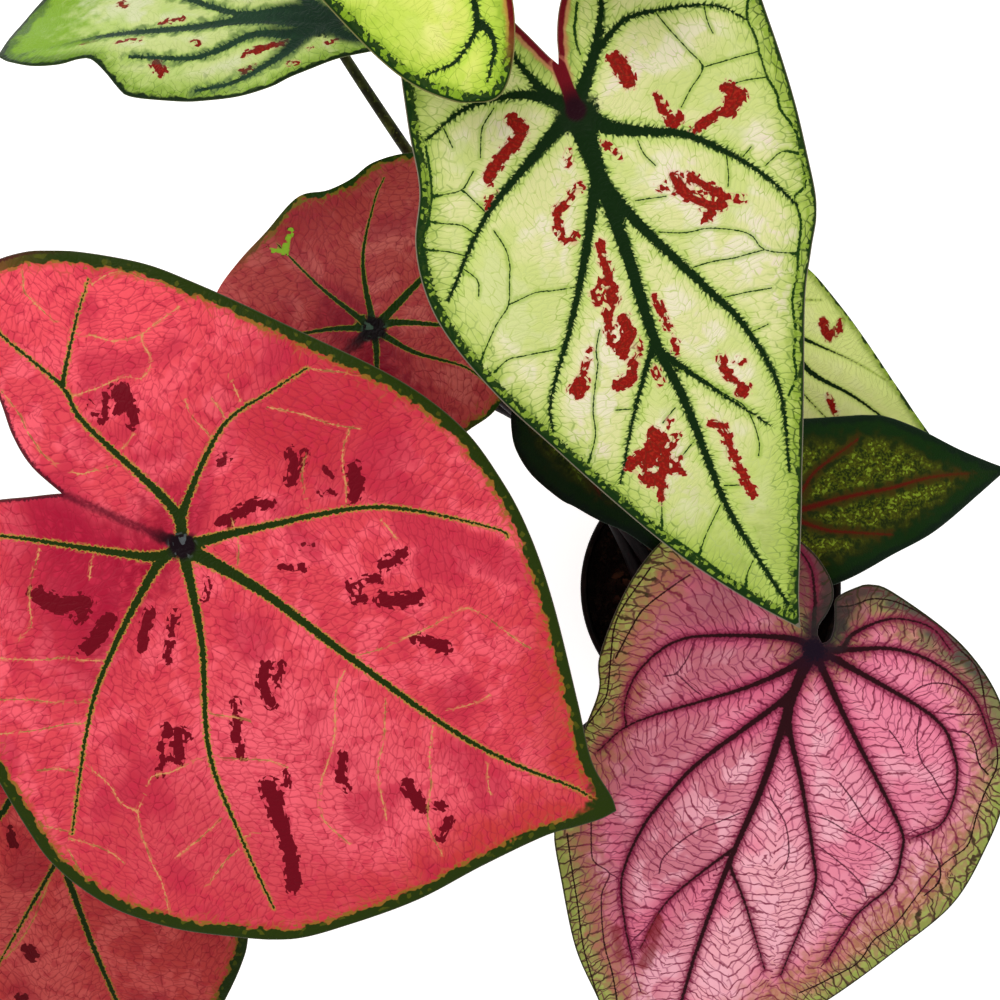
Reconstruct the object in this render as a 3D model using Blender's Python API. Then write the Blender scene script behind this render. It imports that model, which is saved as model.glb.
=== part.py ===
"""A potted caladium: four tubers in one grower's pot, ten heart-shaped leaves on long stalks.

Run it with: blender --background --python part.py
The pot stands on z = 0 with its centre on the origin, and up is +Z. Lengths here are in millimetres
until a mesh is made, which turns them into metres.
"""

import math

import bmesh
import bpy
from mathutils import Vector, noise
from mathutils.geometry import delaunay_2d_cdt

MM = 0.001
GAP = 0.35

# Pot, a turned tub of thin dark plastic
POT_HEIGHT = 105.0
RIM_RADIUS = 60.0
RIM_BAND = 20.0
RIM_STEP = 3.0
BASE_RADIUS = 42.5
WALL = 1.6
FLOOR = 2.0
POT_SIDES = 48
DRAIN_HOLES = 8
DRAIN_RADIUS = 4.0
DRAIN_RING = 31.0

# Soil, with its top a little under the rim
SOIL_TOP = 92.0
SOIL_DOME = 2.5
SOIL_BUMP = 1.3
SOIL_SIDES = 40

# Tubers: centre on the pot's floor plan, half width, half height
TUBER_MIDDLE = 70.0
TUBERS = {
    "cream": ((8, 24), 15.0, 9.0),
    "red": ((-24, -4), 15.0, 9.0),
    "pink": ((8, -26), 13.0, 8.0),
    "dark": ((27, 0), 11.5, 8.0),
}

# Leaf blades
BLADE = 0.8
RIB_HEIGHT = 0.65
GROOVE = 0.25
PUCKER = 1.3
PUCKER_REACH = 9.0
EDGE_STEP = 10.0
RIB_STEP = 15.0
INNER_STEP = 21.0

# Stalks
STALK_BASE = 3.0
STALK_TOP = 1.8
STALK_SIDES = 8
STALK_RINGS = 11

# Each leaf lies in a plane of its own: u runs from the hub to the tip and v to the side.
# hub is where the stalk meets the blade, in the pot's frame. heading, pitch and roll turn the plane.
# root is where the stalk stands round its tuber's crown, and handles, where given, bow it.
# droop, back and arch bend the tip, the lobes and the sides down, wave lifts and lowers the edge.
# sinus is the end of the notch between the lobes. left (v < 0) and right (v > 0) are the edge from
# the notch to the tip. A vein is its half width where it starts, then its points.
LEAVES = {
    "cream_large": {
        "kind": "cream", "root": -65, "hub": (-71.4, 172.0, 345), "heading": -65, "pitch": -8, "roll": 0,
        "length": 197, "droop": 22, "back": 10, "arch": 30, "wave": 5, "waves": 5, "phase": 0.5,
        "sinus": (-16, 0.8), "tip": (201, 0),
        "left": [(-20, -1.2), (-28, -4.2), (-38, -8), (-55, -13), (-66, -21), (-67, -33), (-56, -42),
                 (-37, -48), (-17, -54), (2, -59), (18, -68), (35, -72), (53, -71), (78, -64), (102, -54),
                 (130, -42), (157, -29), (183, -13)],
        "right": [(-19, 2.2), (-24, 4), (-30, 7), (-35, 10.5), (-41, 16), (-50, 25), (-57, 40), (-54, 56),
                  (-42, 68), (-25, 74), (-7, 73), (25, 70), (45, 67), (64, 63), (77, 55), (92, 46),
                  (124, 32), (156, 18), (184, 6)],
        "veins": [
            (2.6, [(0, 0), (25, -2), (52, -4), (82, -7), (106, -6), (146, -7), (170, -4), (195, 0)]),
            (1.9, [(25, -2), (44, 4), (75, 17), (90, 23), (116, 26), (145, 18)]),
            (1.9, [(0, 0), (10, 8), (17, 20), (24, 32), (43, 48), (61, 57)]),
            (1.7, [(0, 0), (-13, 12), (-24, 20), (-35, 26), (-49, 37)]),
            (1.0, [(-13, 12), (-19, 23), (-20, 33), (-13, 56), (-3, 66)]),
            (1.8, [(22, -2), (44, -16), (65, -31), (86, -48), (97, -52)]),
            (1.7, [(0, 0), (8, -19), (20, -43), (40, -66)]),
            (1.6, [(0, 0), (-11, -12), (-16, -32), (-12, -50)]),
            (1.2, [(0, 0), (-12, -8), (-34, -14), (-55, -19)]),
            (1.0, [(82, -7), (102, -23), (124, -38)]),
            (1.0, [(88, -6), (105, 4), (127, 18)]),
        ],
    },
    "cream_high": {
        "kind": "cream", "root": 115, "handles": ((-19, 55, 218), (-97, 183, 270)),
        "hub": (-111.6, 242.3, 368), "heading": 127, "pitch": -12, "roll": 0,
        "length": 150, "droop": 20, "back": 14, "arch": 30, "wave": 4, "waves": 5, "phase": 0.0,
        "sinus": (-4, 0), "tip": (150, 0),
        "left": [(-15, -2), (-32, -5), (-50, -10), (-62, -20), (-66, -33), (-58, -45), (-38, -54),
                 (-12, -58), (18, -58), (48, -53), (78, -42), (108, -26), (132, -11)],
        "right": [(-15, 2), (-30, 5), (-45, 10), (-58, 19), (-66, 28), (-67, 35), (-60, 44), (-41, 53),
                  (-15, 57), (15, 58), (45, 54), (75, 44), (105, 28), (131, 12)],
        "veins": [
            (2.2, [(0, 0), (40, 1), (80, 0), (115, -1), (143, 0)]),
            (1.7, [(0, 0), (20, 16), (45, 34), (72, 40)]),
            (1.6, [(0, 0), (2, 24), (10, 46)]),
            (1.9, [(0, 0), (-28, 15), (-43, 23), (-47, 29), (-49, 37), (-46, 46)]),
            (1.3, [(-43, 23), (-48, 22), (-54, 24), (-61, 32)]),
            (1.7, [(0, 0), (20, -16), (45, -34), (72, -38)]),
            (1.6, [(0, 0), (2, -24), (10, -46)]),
            (1.7, [(0, 0), (-24, -14), (-46, -32)]),
        ],
    },
    "cream_side": {
        "kind": "cream", "root": 190, "handles": ((-60, 75, 165), (-143, 189, 245)),
        "hub": (-160.9, 215.1, 290), "heading": 182, "pitch": -4, "roll": 32,
        "length": 122, "droop": 14, "back": 4, "arch": 16, "wave": 7, "waves": 7, "phase": 0.6,
        "sinus": (-12, 0), "tip": (126, -3),
        "left": [(-22, -3), (-36, -10), (-44, -24), (-38, -40), (-18, -50), (10, -56), (45, -58),
                 (80, -55), (104, -49), (117, -40), (124, -23)],
        "right": [(-24, 2), (-34, 5), (-37, 10), (-30, 13), (-17, 15.7), (-8, 18.4), (1, 21.7),
                  (11, 26.5), (18, 30.8), (29, 33.4), (44, 32), (60, 29.9), (71, 27.4), (75, 24),
                  (81, 16), (87, 9.6), (92, 9), (99, 10.5), (110, 9), (120, 3.2)],
        "veins": [
            (2.2, [(0, 0), (26, -4), (53, -3), (81, -5), (101, -3), (119, -3)]),
            (1.5, [(0, 0), (11, 5), (26, 4), (38, 10), (50, 13), (72, 10)]),
            (1.6, [(0, 0), (8, 6), (15, 15), (31, 25), (46, 27)]),
            (1.6, [(0, 0), (10, -7), (32, -8), (51, -19), (75, -36)]),
            (1.5, [(0, 0), (7, -12), (20, -30), (36, -48)]),
            (1.3, [(0, 0), (-12, -10), (-25, -22), (-36, -30)]),
            (1.2, [(0, 0), (-10, 8), (-28, 9)]),
        ],
    },
    "cream_low": {
        "kind": "cream", "root": 20, "hub": (14.6, 114.1, 196), "heading": -38, "pitch": -12, "roll": 0,
        "length": 100, "droop": 12, "back": 6, "arch": 20, "wave": 3, "waves": 5, "phase": 0.0,
        "sinus": (-5, 0), "tip": (114, 2),
        "left": [(-15, -5), (-25, -12), (-28, -21), (-20, -30), (-2, -34), (25, -34), (50, -28),
                 (75, -18), (97, -7)],
        "right": [(-15, 5), (-25, 12), (-27, 20), (-18, 26), (-2, 27), (10, 26), (25, 23), (50, 17),
                  (74, 11), (94, 7)],
        "veins": [
            (1.8, [(0, 0), (26, -5), (49, -1), (75, 1), (108, 2)]),
            (1.3, [(0, 0), (17, 4), (39, 10), (56, 13)]),
            (1.3, [(5, -1), (18, -10), (33, -14), (60, -16)]),
            (1.2, [(0, 0), (2, 12), (12, 21)]),
            (1.2, [(0, 0), (-12, 9), (-21, 18)]),
            (1.2, [(0, 0), (4, -16), (18, -28)]),
            (1.2, [(0, 0), (-12, -9), (-21, -21)]),
        ],
    },
    "red_large": {
        "kind": "red", "root": 180, "handles": ((-62, 90, 185), (-150, 125, 250)),
        "hub": (-208.6, 24.4, 318), "heading": -30.5, "pitch": -6, "roll": 0,
        "length": 178, "droop": 18, "back": 16, "arch": 24, "wave": 4, "waves": 6, "phase": 0.0,
        "sinus": (-45, -5), "tip": (187, -7),
        "left": [(-53, -11), (-68, -23), (-73, -36), (-72, -48), (-63, -63), (-32, -92), (4, -116),
                 (21, -124), (43, -127), (65, -123), (85, -115), (105, -105), (121, -90), (139, -70),
                 (153, -49), (168, -28), (176, -20), (183, -13)],
        "right": [(-59, -2), (-70, 4), (-81, 13), (-101, 26), (-110, 44), (-96, 63), (-66, 77), (-41, 82),
                  (-2, 86), (36, 89), (64, 86), (86, 77), (104, 66), (124, 49), (151, 22), (168, 5),
                  (182, -3)],
        "veins": [
            (2.2, [(0, 0), (32, 0), (71, -5), (116, -10), (142, -10), (169, -7), (180, -8)]),
            (1.6, [(0, 0), (22, 21), (46, 42), (65, 52), (94, 61), (99, 60)]),
            (1.5, [(0, 0), (-6, 12), (-9, 43), (-1, 62), (6, 76)]),
            (1.7, [(0, 0), (-10, 10), (-51, 20), (-64, 27), (-92, 32), (-104, 37)]),
            (0.9, [(-64, 27), (-71, 48), (-75, 64)]),
            (1.6, [(0, 0), (23, -26), (45, -59), (71, -81), (94, -98)]),
            (1.6, [(0, 0), (-4, -12), (-2, -48), (3, -71), (18, -110)]),
            (1.7, [(0, 0), (-6, -8), (-27, -17), (-56, -29), (-68, -40)]),
        ],
    },
    "red_small": {
        "kind": "red", "root": 80, "handles": ((-48, 44, 172), (-118, 108, 235)),
        "hub": (-143.7, 103.8, 280), "heading": 40, "pitch": -4, "roll": 0,
        "length": 76, "droop": 8, "back": 6, "arch": 8, "wave": 3, "waves": 6, "phase": 0.0,
        "sinus": (-15, 0), "tip": (90, 3),
        "left": [(-26, -4), (-36, -12), (-45, -26), (-41, -41), (-28, -49), (-13, -50), (3, -51),
                 (18, -51), (39, -40), (60, -24), (78, -9)],
        "right": [(-26, 4), (-36, 14), (-45, 28), (-44, 41), (-35, 48), (-21, 52), (-7, 54), (10, 56),
                  (20, 51), (30, 49), (41, 49), (54, 43), (68, 29), (80, 14)],
        "veins": [
            (1.5, [(0, 0), (24, 3), (52, 6), (82, 4)]),
            (1.1, [(0, 0), (13, 22), (31, 37), (40, 42)]),
            (1.1, [(0, 0), (-5, 24), (-7, 48)]),
            (1.1, [(0, 0), (-12, 10), (-36, 24)]),
            (1.2, [(0, 0), (10, -5), (33, -28), (38, -36)]),
            (1.1, [(0, 0), (6, -16), (17, -32), (20, -44)]),
            (1.1, [(0, 0), (-7, -10), (-28, -34)]),
        ],
    },
    "red_low": {
        "kind": "red", "root": 270, "handles": ((-46, -106, 150), (-195, -98, 185)),
        "hub": (-278.3, -64.4, 258), "heading": -68.5, "pitch": -15, "roll": 0,
        "length": 145, "droop": 16, "back": 8, "arch": 14, "wave": 4, "waves": 5, "phase": 0.0,
        "sinus": (-12, 0), "tip": (168, -14),
        "left": [(-24, -6), (-42, -20), (-50, -38), (-44, -54), (-26, -66), (0, -72), (30, -72),
                 (60, -68), (90, -60), (118, -47), (140, -33), (158, -20)],
        "right": [(-24, 5), (-42, 18), (-52, 34), (-50, 50), (-34, 62), (-10, 68), (20, 69), (50, 66),
                  (78, 59), (99, 50), (109, 43), (122, 30), (140, 10), (155, -5)],
        "veins": [
            (2.0, [(0, 0), (36, -2), (80, -7), (104, -9), (160, -14)]),
            (1.0, [(36, -2), (56, -26), (74, -48)]),
            (1.3, [(0, 0), (12, -16), (26, -40), (42, -62)]),
            (1.4, [(0, 0), (20, 22), (48, 44), (78, 52)]),
            (1.3, [(0, 0), (-4, 22), (-2, 54)]),
            (1.3, [(0, 0), (-22, 12), (-42, 34)]),
            (1.3, [(0, 0), (-10, -24), (-6, -60)]),
            (1.3, [(0, 0), (-22, -14), (-42, -36)]),
        ],
    },
    "pink_large": {
        "kind": "pink", "root": 20, "hub": (24.1, -17.4, 250), "heading": -110, "pitch": -14, "roll": 0,
        "length": 196, "droop": 20, "back": 10, "arch": 26, "wave": 4, "waves": 5, "phase": 1.0,
        "sinus": (-3.5, 2), "tip": (216, 12),
        "left": [(-6, -1), (-10, -2), (-16, -0.8), (-23, -1.2), (-30, -6), (-37, -17), (-41, -34),
                 (-38, -53), (-27, -65), (-13, -72), (7, -76), (33, -76), (46, -71.5), (65, -71),
                 (98, -70), (112, -67), (131, -57), (158, -41), (177, -24), (196, -8)],
        "right": [(-6, 4.2), (-11, 3.9), (-17, 1.9), (-21, 0.2), (-24, 1), (-28.5, 5), (-32, 10),
                  (-32, 20), (-22, 51),
                  (-7, 73), (12, 86), (31, 92), (52, 94), (82, 92), (112, 78), (139, 63), (162, 46),
                  (187, 28)],
        "veins": [
            (2.4, [(0, 0), (17, -1), (58, 2), (96, 2), (135, 4), (162, 7), (209, 13)]),
            (1.7, [(12, -1), (31, 2), (55, 17), (81, 32), (96, 38), (136, 40)]),
            (1.6, [(0, 0), (23, 23), (56, 58), (67, 64), (82, 66), (101, 58), (124, 55)]),
            (1.6, [(0, 0), (1, 12), (9, 52), (20, 66), (34, 73), (50, 74), (60, 66)]),
            (1.4, [(0, 0), (-5, 13), (-11, 28), (-11, 46), (-3, 65), (12, 79)]),
            (1.0, [(-5, 10), (-12, 12), (-22, 23), (-24, 38), (-18, 49)]),
            (0.9, [(96, 2), (111, 15), (136, 33)]),
            (1.7, [(12, -1), (22, -3), (57, -23), (75, -30), (95, -35), (119, -35), (138, -27),
                   (153, -18)]),
            (1.5, [(3, -1), (9, -5), (24, -19), (53, -53), (71, -63)]),
            (1.4, [(0, 0), (-1, -11), (10, -41), (19, -53), (34, -60), (48, -60), (57, -56)]),
            (1.2, [(0, 0), (-13, -5), (-19, -7), (-31, -14), (-39, -27)]),
            (0.9, [(88, 2), (105, -7), (124, -15), (147, -17)]),
        ],
    },
    "dark_side": {
        "kind": "dark", "root": 120, "hub": (16.2, 34.5, 222), "heading": 11, "pitch": -10, "roll": 0,
        "length": 94, "droop": 10, "back": 6, "arch": 24, "wave": 4, "waves": 5, "phase": 0.0,
        "sinus": (-6, 0), "tip": (103, 0),
        "left": [(-16, -4), (-28, -10), (-33, -20), (-26, -30), (-8, -34), (19, -31), (42, -25),
                 (64, -19), (87, -8)],
        "right": [(-16, 4), (-28, 12), (-33, 22), (-26, 33), (-8, 38), (8, 38), (19, 36), (36, 34),
                  (49, 32), (62, 25), (79, 13), (93, 5)],
        "veins": [
            (1.8, [(0, 0), (28, 2), (47, 2), (68, 3), (97, 0)]),
            (1.2, [(0, 0), (16, -9), (26, -12), (46, -17)]),
            (1.2, [(0, 0), (11, 9), (18, 15), (38, 24)]),
            (1.1, [(0, 0), (-2, 14), (4, 30)]),
            (1.1, [(0, 0), (-2, -12), (6, -26)]),
            (1.1, [(0, 0), (-12, 8), (-25, 20)]),
            (1.1, [(0, 0), (-12, -8), (-25, -19)]),
        ],
    },
    "dark_middle": {
        "kind": "dark", "root": 210, "hub": (-64.2, 69.1, 258), "heading": -47, "pitch": -8, "roll": 0,
        "length": 84, "droop": 8, "back": 5, "arch": 16, "wave": 3, "waves": 5, "phase": 0.0,
        "sinus": (-5, 0), "tip": (86, -4),
        "left": [(-13, -3), (-22, -9), (-24, -16), (-18, -22), (-11, -26), (0, -28), (14, -26.4),
                 (20, -24.3), (27, -22.2), (33, -20), (41, -16.5), (52, -14), (66, -11)],
        "right": [(-13, 3), (-22, 9), (-25, 17), (-18, 25), (-2, 28), (15, 27), (33, 22), (52, 13),
                  (70, 4)],
        "veins": [
            (1.5, [(0, 0), (28, 0), (55, -2), (80, -4)]),
            (1.1, [(0, 0), (14, 11), (32, 17)]),
            (1.1, [(0, 0), (12, -10), (26, -15)]),
            (1.1, [(0, 0), (-10, 8), (-18, 17)]),
            (1.1, [(0, 0), (-8, -8), (-15, -16)]),
        ],
    },
}

COLOURS = {
    "pot": ("2A2422", 0.5),
    "soil": ("3A2A1E", 0.95),
    "tuber": ("7A5A3C", 0.85),
    "cream": ("D5E59A", 0.45),
    "red": ("D8385A", 0.42),
    "pink": ("D98AA6", 0.5),
    "dark": ("1F4A24", 0.42),
    "cream_stalk": ("2E2E14", 0.5),
    "red_stalk": ("6A2A2A", 0.5),
    "pink_stalk": ("5A2A34", 0.5),
    "dark_stalk": ("3A1C18", 0.5),
}


def clear_scene():
    for thing in list(bpy.data.objects):
        bpy.data.objects.remove(thing)


def linear(code):
    """The linear value of an sRGB hex colour."""
    parts = [int(code[i:i + 2], 16) / 255 for i in (0, 2, 4)]
    return [c / 12.92 if c <= 0.04045 else ((c + 0.055) / 1.055) ** 2.4 for c in parts]


def material(name):
    code, roughness = COLOURS[name]
    made = bpy.data.materials.get(name) or bpy.data.materials.new(name)
    made.use_nodes = True
    surface = made.node_tree.nodes["Principled BSDF"]
    surface.inputs["Base Color"].default_value = (*linear(code), 1)
    surface.inputs["Roughness"].default_value = roughness
    surface.inputs["Metallic"].default_value = 0
    made.diffuse_color = (*linear(code), 1)
    return made


def add_object(name, points, faces, colour):
    """An object with a mesh of these points, in millimetres, with its faces turned outward."""
    mesh = bpy.data.meshes.new(name)
    mesh.from_pydata([Vector(p) * MM for p in points], [], faces)
    solid = bmesh.new()
    solid.from_mesh(mesh)
    bmesh.ops.recalc_face_normals(solid, faces=solid.faces)
    solid.to_mesh(mesh)
    solid.free()
    made = bpy.data.objects.new(name, mesh)
    mesh.materials.append(material(colour))
    bpy.context.scene.collection.objects.link(made)
    return made


def add_cutter(name, points, faces):
    cutter = add_object(name, points, faces, "soil")
    cutter.hide_render = True
    cutter.display_type = "WIRE"
    return cutter


def cut(target, cutter):
    boolean = target.modifiers.new("cut_" + cutter.name, "BOOLEAN")
    boolean.operation = "DIFFERENCE"
    boolean.object = cutter


# Turned and tubular shapes


def turned(profile, sides, height_at=None):
    """A solid of revolution. The profile runs from one end of the axis to the other, as (radius, z)."""
    points = []
    rings = []
    for radius, z in profile:
        ring = []
        for i in range(sides if radius > 0 else 1):
            angle = math.tau * i / sides
            x = radius * math.cos(angle)
            y = radius * math.sin(angle)
            ring.append(len(points))
            points.append((x, y, height_at(x, y, z) if height_at else z))
        rings.append(ring)
    faces = []
    for lower, upper in zip(rings, rings[1:]):
        for i in range(sides):
            j = (i + 1) % sides
            low = [lower[i % len(lower)], lower[j % len(lower)]]
            high = [upper[j % len(upper)], upper[i % len(upper)]]
            faces.append(list(dict.fromkeys(low + high)))
    return points, faces


def tube(path, radii, across, sides, end_axes=None):
    """A capped tube along the path. across is a direction square to its first stretch."""
    points = []
    across = Vector(across)
    for i, centre in enumerate(path):
        along = Vector(path[min(i + 1, len(path) - 1)]) - Vector(path[max(i - 1, 0)])
        along.normalize()
        across = (across - along * across.dot(along)).normalized()
        side = along.cross(across)
        if i == 0 and end_axes:
            across, side = end_axes
        for k in range(sides):
            angle = math.tau * k / sides
            spoke = across * math.cos(angle) + side * math.sin(angle)
            points.append(Vector(centre) + spoke * radii[i])
    faces = [list(range(sides)), list(range(len(points) - sides, len(points)))]
    for ring in range(len(path) - 1):
        for k in range(sides):
            a = ring * sides + k
            b = ring * sides + (k + 1) % sides
            faces.append([a, b, b + sides, a + sides])
    return points, faces


def wall_radius(z):
    """The pot's inner radius at a height."""
    under_band = POT_HEIGHT - RIM_BAND
    if z > under_band + 3:
        return RIM_RADIUS - 1.2 - WALL - (POT_HEIGHT - z) * 0.06
    low = BASE_RADIUS - WALL + 0.8
    high = RIM_RADIUS - RIM_STEP - WALL - 0.8
    return low + (high - low) * min(z / under_band, 1)


def add_pot():
    under_band = POT_HEIGHT - RIM_BAND
    profile = [
        (0, 0),
        (BASE_RADIUS - 0.8, 0),
        (BASE_RADIUS, 1.2),
        (wall_radius(under_band) + WALL, under_band),
        (RIM_RADIUS - 1.4, under_band + 0.6),
        (RIM_RADIUS, POT_HEIGHT - 1),
        (RIM_RADIUS - 0.6, POT_HEIGHT),
        (RIM_RADIUS - WALL - 0.4, POT_HEIGHT),
        (RIM_RADIUS - WALL - 1.2, POT_HEIGHT - 1),
        (wall_radius(under_band + 3.01), under_band + 3),
        (wall_radius(under_band), under_band),
        (wall_radius(FLOOR + 1), FLOOR + 1),
        (wall_radius(FLOOR) - 1, FLOOR),
        (0, FLOOR),
    ]
    pot = add_object("pot", *turned(profile, POT_SIDES), "pot")
    for i in range(DRAIN_HOLES):
        angle = math.tau * (i + 0.5) / DRAIN_HOLES
        x = DRAIN_RING * math.cos(angle)
        y = DRAIN_RING * math.sin(angle)
        path = [(x, y, -2), (x, y, FLOOR + 2)]
        hole = tube(path, [DRAIN_RADIUS] * 2, (1, 0, 0), 14)
        cut(pot, add_cutter(f"drain_{i}", *hole))


def tuber_shape(kind, grow):
    """A flattened, knobbly ball, larger all round by grow."""
    (x, y), half_width, half_height = TUBERS[kind]
    points = []
    faces = []
    ball = bmesh.new()
    bmesh.ops.create_uvsphere(ball, u_segments=16, v_segments=9, radius=1)
    for vertex in ball.verts:
        way = vertex.co.normalized()
        size = 1 + 0.05 * noise.noise(way * 1.7 + Vector((x, y, 0)))
        reach = Vector((way.x * half_width, way.y * half_width, way.z * half_height)) * size
        points.append(reach + way * grow + Vector((x, y, TUBER_MIDDLE)))
    for face in ball.faces:
        faces.append([vertex.index for vertex in face.verts])
    ball.free()
    return points, faces


def soil_height(x, y, z):
    """Heights above the soil's shoulder are domed and bumpy."""
    if z < SOIL_TOP - 0.5:
        return z
    reach = math.hypot(x, y) / RIM_RADIUS
    bump = SOIL_BUMP * noise.noise(Vector((x, y, 3)) / 9)
    return z + SOIL_DOME * (1 - reach * reach) + bump


def add_soil():
    under_band = POT_HEIGHT - RIM_BAND
    profile = [(0, FLOOR + GAP), (wall_radius(FLOOR) - 1 - GAP, FLOOR + GAP)]
    for z in (FLOOR + 1, under_band):
        profile.append((wall_radius(z) - GAP, z + 0.2))
    profile.append((wall_radius(under_band + 3.01) - GAP, under_band + 3.3))
    edge = wall_radius(SOIL_TOP + 2) - GAP
    for part in (1, 0.88, 0.74, 0.58, 0.42, 0.26, 0.12, 0):
        profile.append((edge * part, SOIL_TOP))
    soil = add_object("soil", *turned(profile, SOIL_SIDES, soil_height), "soil")
    for kind in TUBERS:
        cut(soil, add_cutter(f"pocket_{kind}", *tuber_shape(kind, GAP)))
    for name, leaf in LEAVES.items():
        x, y, bottom = stalk_foot(leaf)
        path = [(x, y, bottom - 1.5), (x, y, SOIL_TOP + 8)]
        hole = tube(path, [STALK_BASE + GAP] * 2, (1, 0, 0), STALK_SIDES)
        cut(soil, add_cutter(f"hole_{name}", *hole))


# Leaves


def smooth(points, step):
    """Points about a step apart on a Catmull-Rom curve through the given ones."""
    first = Vector(points[0])
    last = Vector(points[-1])
    known = [first * 2 - Vector(points[1])] + [Vector(p) for p in points]
    known.append(last * 2 - Vector(points[-2]))
    fine = [first]
    for a, b, c, d in zip(known, known[1:], known[2:], known[3:]):
        for i in range(1, 13):
            t = i / 12
            fine.append(
                0.5 * ((2 * b) + (c - a) * t + (2 * a - 5 * b + 4 * c - d) * t * t
                       + (3 * b - a - 3 * c + d) * t * t * t)
            )
    total = sum((b - a).length for a, b in zip(fine, fine[1:]))
    count = max(2, round(total / step))
    found = [first]
    walked = 0.0
    for a, b in zip(fine, fine[1:]):
        length = (b - a).length
        while walked + length >= total * len(found) / count and len(found) < count:
            share = (total * len(found) / count - walked) / length
            found.append(a.lerp(b, share))
        walked += length
    return found + [last]


def outline(leaf, step):
    """The blade's edge, from the notch along the right side to the tip and back along the left."""
    right = smooth([leaf["sinus"], *leaf["right"], leaf["tip"]], step)
    left = smooth([leaf["sinus"], *leaf["left"], leaf["tip"]], step)
    return right + left[-2:0:-1]


def distance(p, a, b):
    """How far p is from the stretch a to b, and how far along it the nearest point is."""
    along = b - a
    share = max(0.0, min(1.0, (p - a).dot(along) / along.length_squared))
    return (p - a - along * share).length, share


def inside(p, edge):
    hit = False
    for a, b in zip(edge, edge[1:] + edge[:1]):
        if (a.y > p.y) != (b.y > p.y) and p.x < a.x + (b.x - a.x) * (p.y - a.y) / (b.y - a.y):
            hit = not hit
    return hit


def axes(leaf):
    """The blade plane's own directions: to the tip, to the side and square to the blade."""
    heading = math.radians(leaf["heading"])
    pitch = math.radians(leaf["pitch"])
    roll = math.radians(leaf["roll"])
    level_tip = Vector((math.cos(heading), math.sin(heading), 0))
    tipward = level_tip * math.cos(pitch) + Vector((0, 0, math.sin(pitch)))
    level = Vector((-math.sin(heading), math.cos(heading), 0))
    side = level * math.cos(roll) + tipward.cross(level) * math.sin(roll)
    return tipward, side, tipward.cross(side)


def lift(leaf, u, v):
    """How far the blade's curved surface is from its plane."""
    size = leaf["length"] ** 2
    bend = leaf["droop"] * max(u, 0) ** 2 + leaf["back"] * min(u, 0) ** 2 + leaf["arch"] * v * v
    ripple = leaf["wave"] * (u * u + v * v) * math.sin(leaf["waves"] * math.atan2(v, u) + leaf["phase"])
    return (ripple - bend) / size


def rib_at(p, ribs):
    """The rib's height at p, as a share of RIB_HEIGHT in mm, and the distance to the nearest rib."""
    tallest = 0.0
    nearest = 1e9
    for half, line in ribs:
        for i, (a, b) in enumerate(zip(line, line[1:])):
            away, share = distance(p, a, b)
            here = half * (1 - 0.7 * (i + share) / (len(line) - 1))
            nearest = min(nearest, away)
            tallest = max(tallest, here * max(0.0, 1 - away / here))
    return tallest, nearest


def blade_lines(leaf, edge, ribs):
    """The points that the blade's triangles meet in, and the lines that they keep."""
    points = list(edge)
    lines = [(i, (i + 1) % len(edge)) for i in range(len(edge))]
    for half, line in ribs:
        for side in (0, -1, 1):
            start = len(points)
            for i, p in enumerate(line):
                if side and (p - line[0]).length < 4.5:
                    continue
                along = (line[min(i + 1, len(line) - 1)] - line[max(i - 1, 0)]).normalized()
                here = half * (1 - 0.7 * i / (len(line) - 1))
                points.append(p + Vector((-along.y, along.x)) * here * side)
            lines += [(i, i + 1) for i in range(start, len(points) - 1)]
    reach = int(1.5 * leaf["length"] / INNER_STEP)
    for row in range(-reach, reach + 1):
        for column in range(-reach, reach + 1):
            p = Vector((column + 0.5 * (row % 2), 0.87 * row)) * INNER_STEP
            near_edge = min(distance(p, a, b)[0] for a, b in zip(edge, edge[1:] + edge[:1]))
            near_rib = rib_at(p, ribs)[1]
            if inside(p, edge) and near_edge > 0.45 * INNER_STEP and near_rib > 0.4 * INNER_STEP:
                points.append(p)
    return points, lines


def add_blade(name, leaf):
    edge = outline(leaf, EDGE_STEP)
    ribs = [(half, smooth(points, RIB_STEP)) for half, points in leaf["veins"]]
    points, lines = blade_lines(leaf, edge, ribs)
    flat, _, triangles, _, _, _ = delaunay_2d_cdt(points, lines, [], 0, 1e-4)
    kept = []
    for triangle in triangles:
        middle = (flat[triangle[0]] + flat[triangle[1]] + flat[triangle[2]]) / 3
        if inside(middle, edge):
            kept.append(triangle)
    used = sorted({i for triangle in kept for i in triangle})
    place = {old: new for new, old in enumerate(used)}
    hub = Vector(leaf["hub"])
    tipward, side, up = axes(leaf)
    upper = []
    lower = []
    for i in used:
        u, v = flat[i]
        rib, away = rib_at(flat[i], ribs)
        height = lift(leaf, u, v) + PUCKER * (1 - math.exp(-((away / PUCKER_REACH) ** 2)))
        spot = hub + tipward * u + side * v
        upper.append(spot + up * (height - GROOVE * rib))
        lower.append(spot + up * (height - BLADE - RIB_HEIGHT * rib))
    count = len(used)
    faces = []
    border = {}
    for triangle in kept:
        a, b, c = (place[i] for i in triangle)
        faces.append((a, b, c))
        faces.append((c + count, b + count, a + count))
        for start, end in ((a, b), (b, c), (c, a)):
            if border.pop((end, start), None) is None:
                border[(start, end)] = True
    for start, end in border:
        faces.append((end, start, start + count))
        faces.append((end, start + count, end + count))
    add_object(name, upper + lower, faces, leaf["kind"])


# Stalks


def stalk_foot(leaf):
    """Where a stalk's foot stands: round its tuber's crown, just above the skin."""
    (x, y), half_width, half_height = TUBERS[leaf["kind"]]
    ring = 6.5
    angle = math.radians(leaf["root"])
    low = (ring - STALK_BASE) / half_width
    crown = TUBER_MIDDLE + half_height * 1.06 * math.sqrt(1 - low * low) + GAP
    return x + ring * math.cos(angle), y + ring * math.sin(angle), crown


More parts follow.
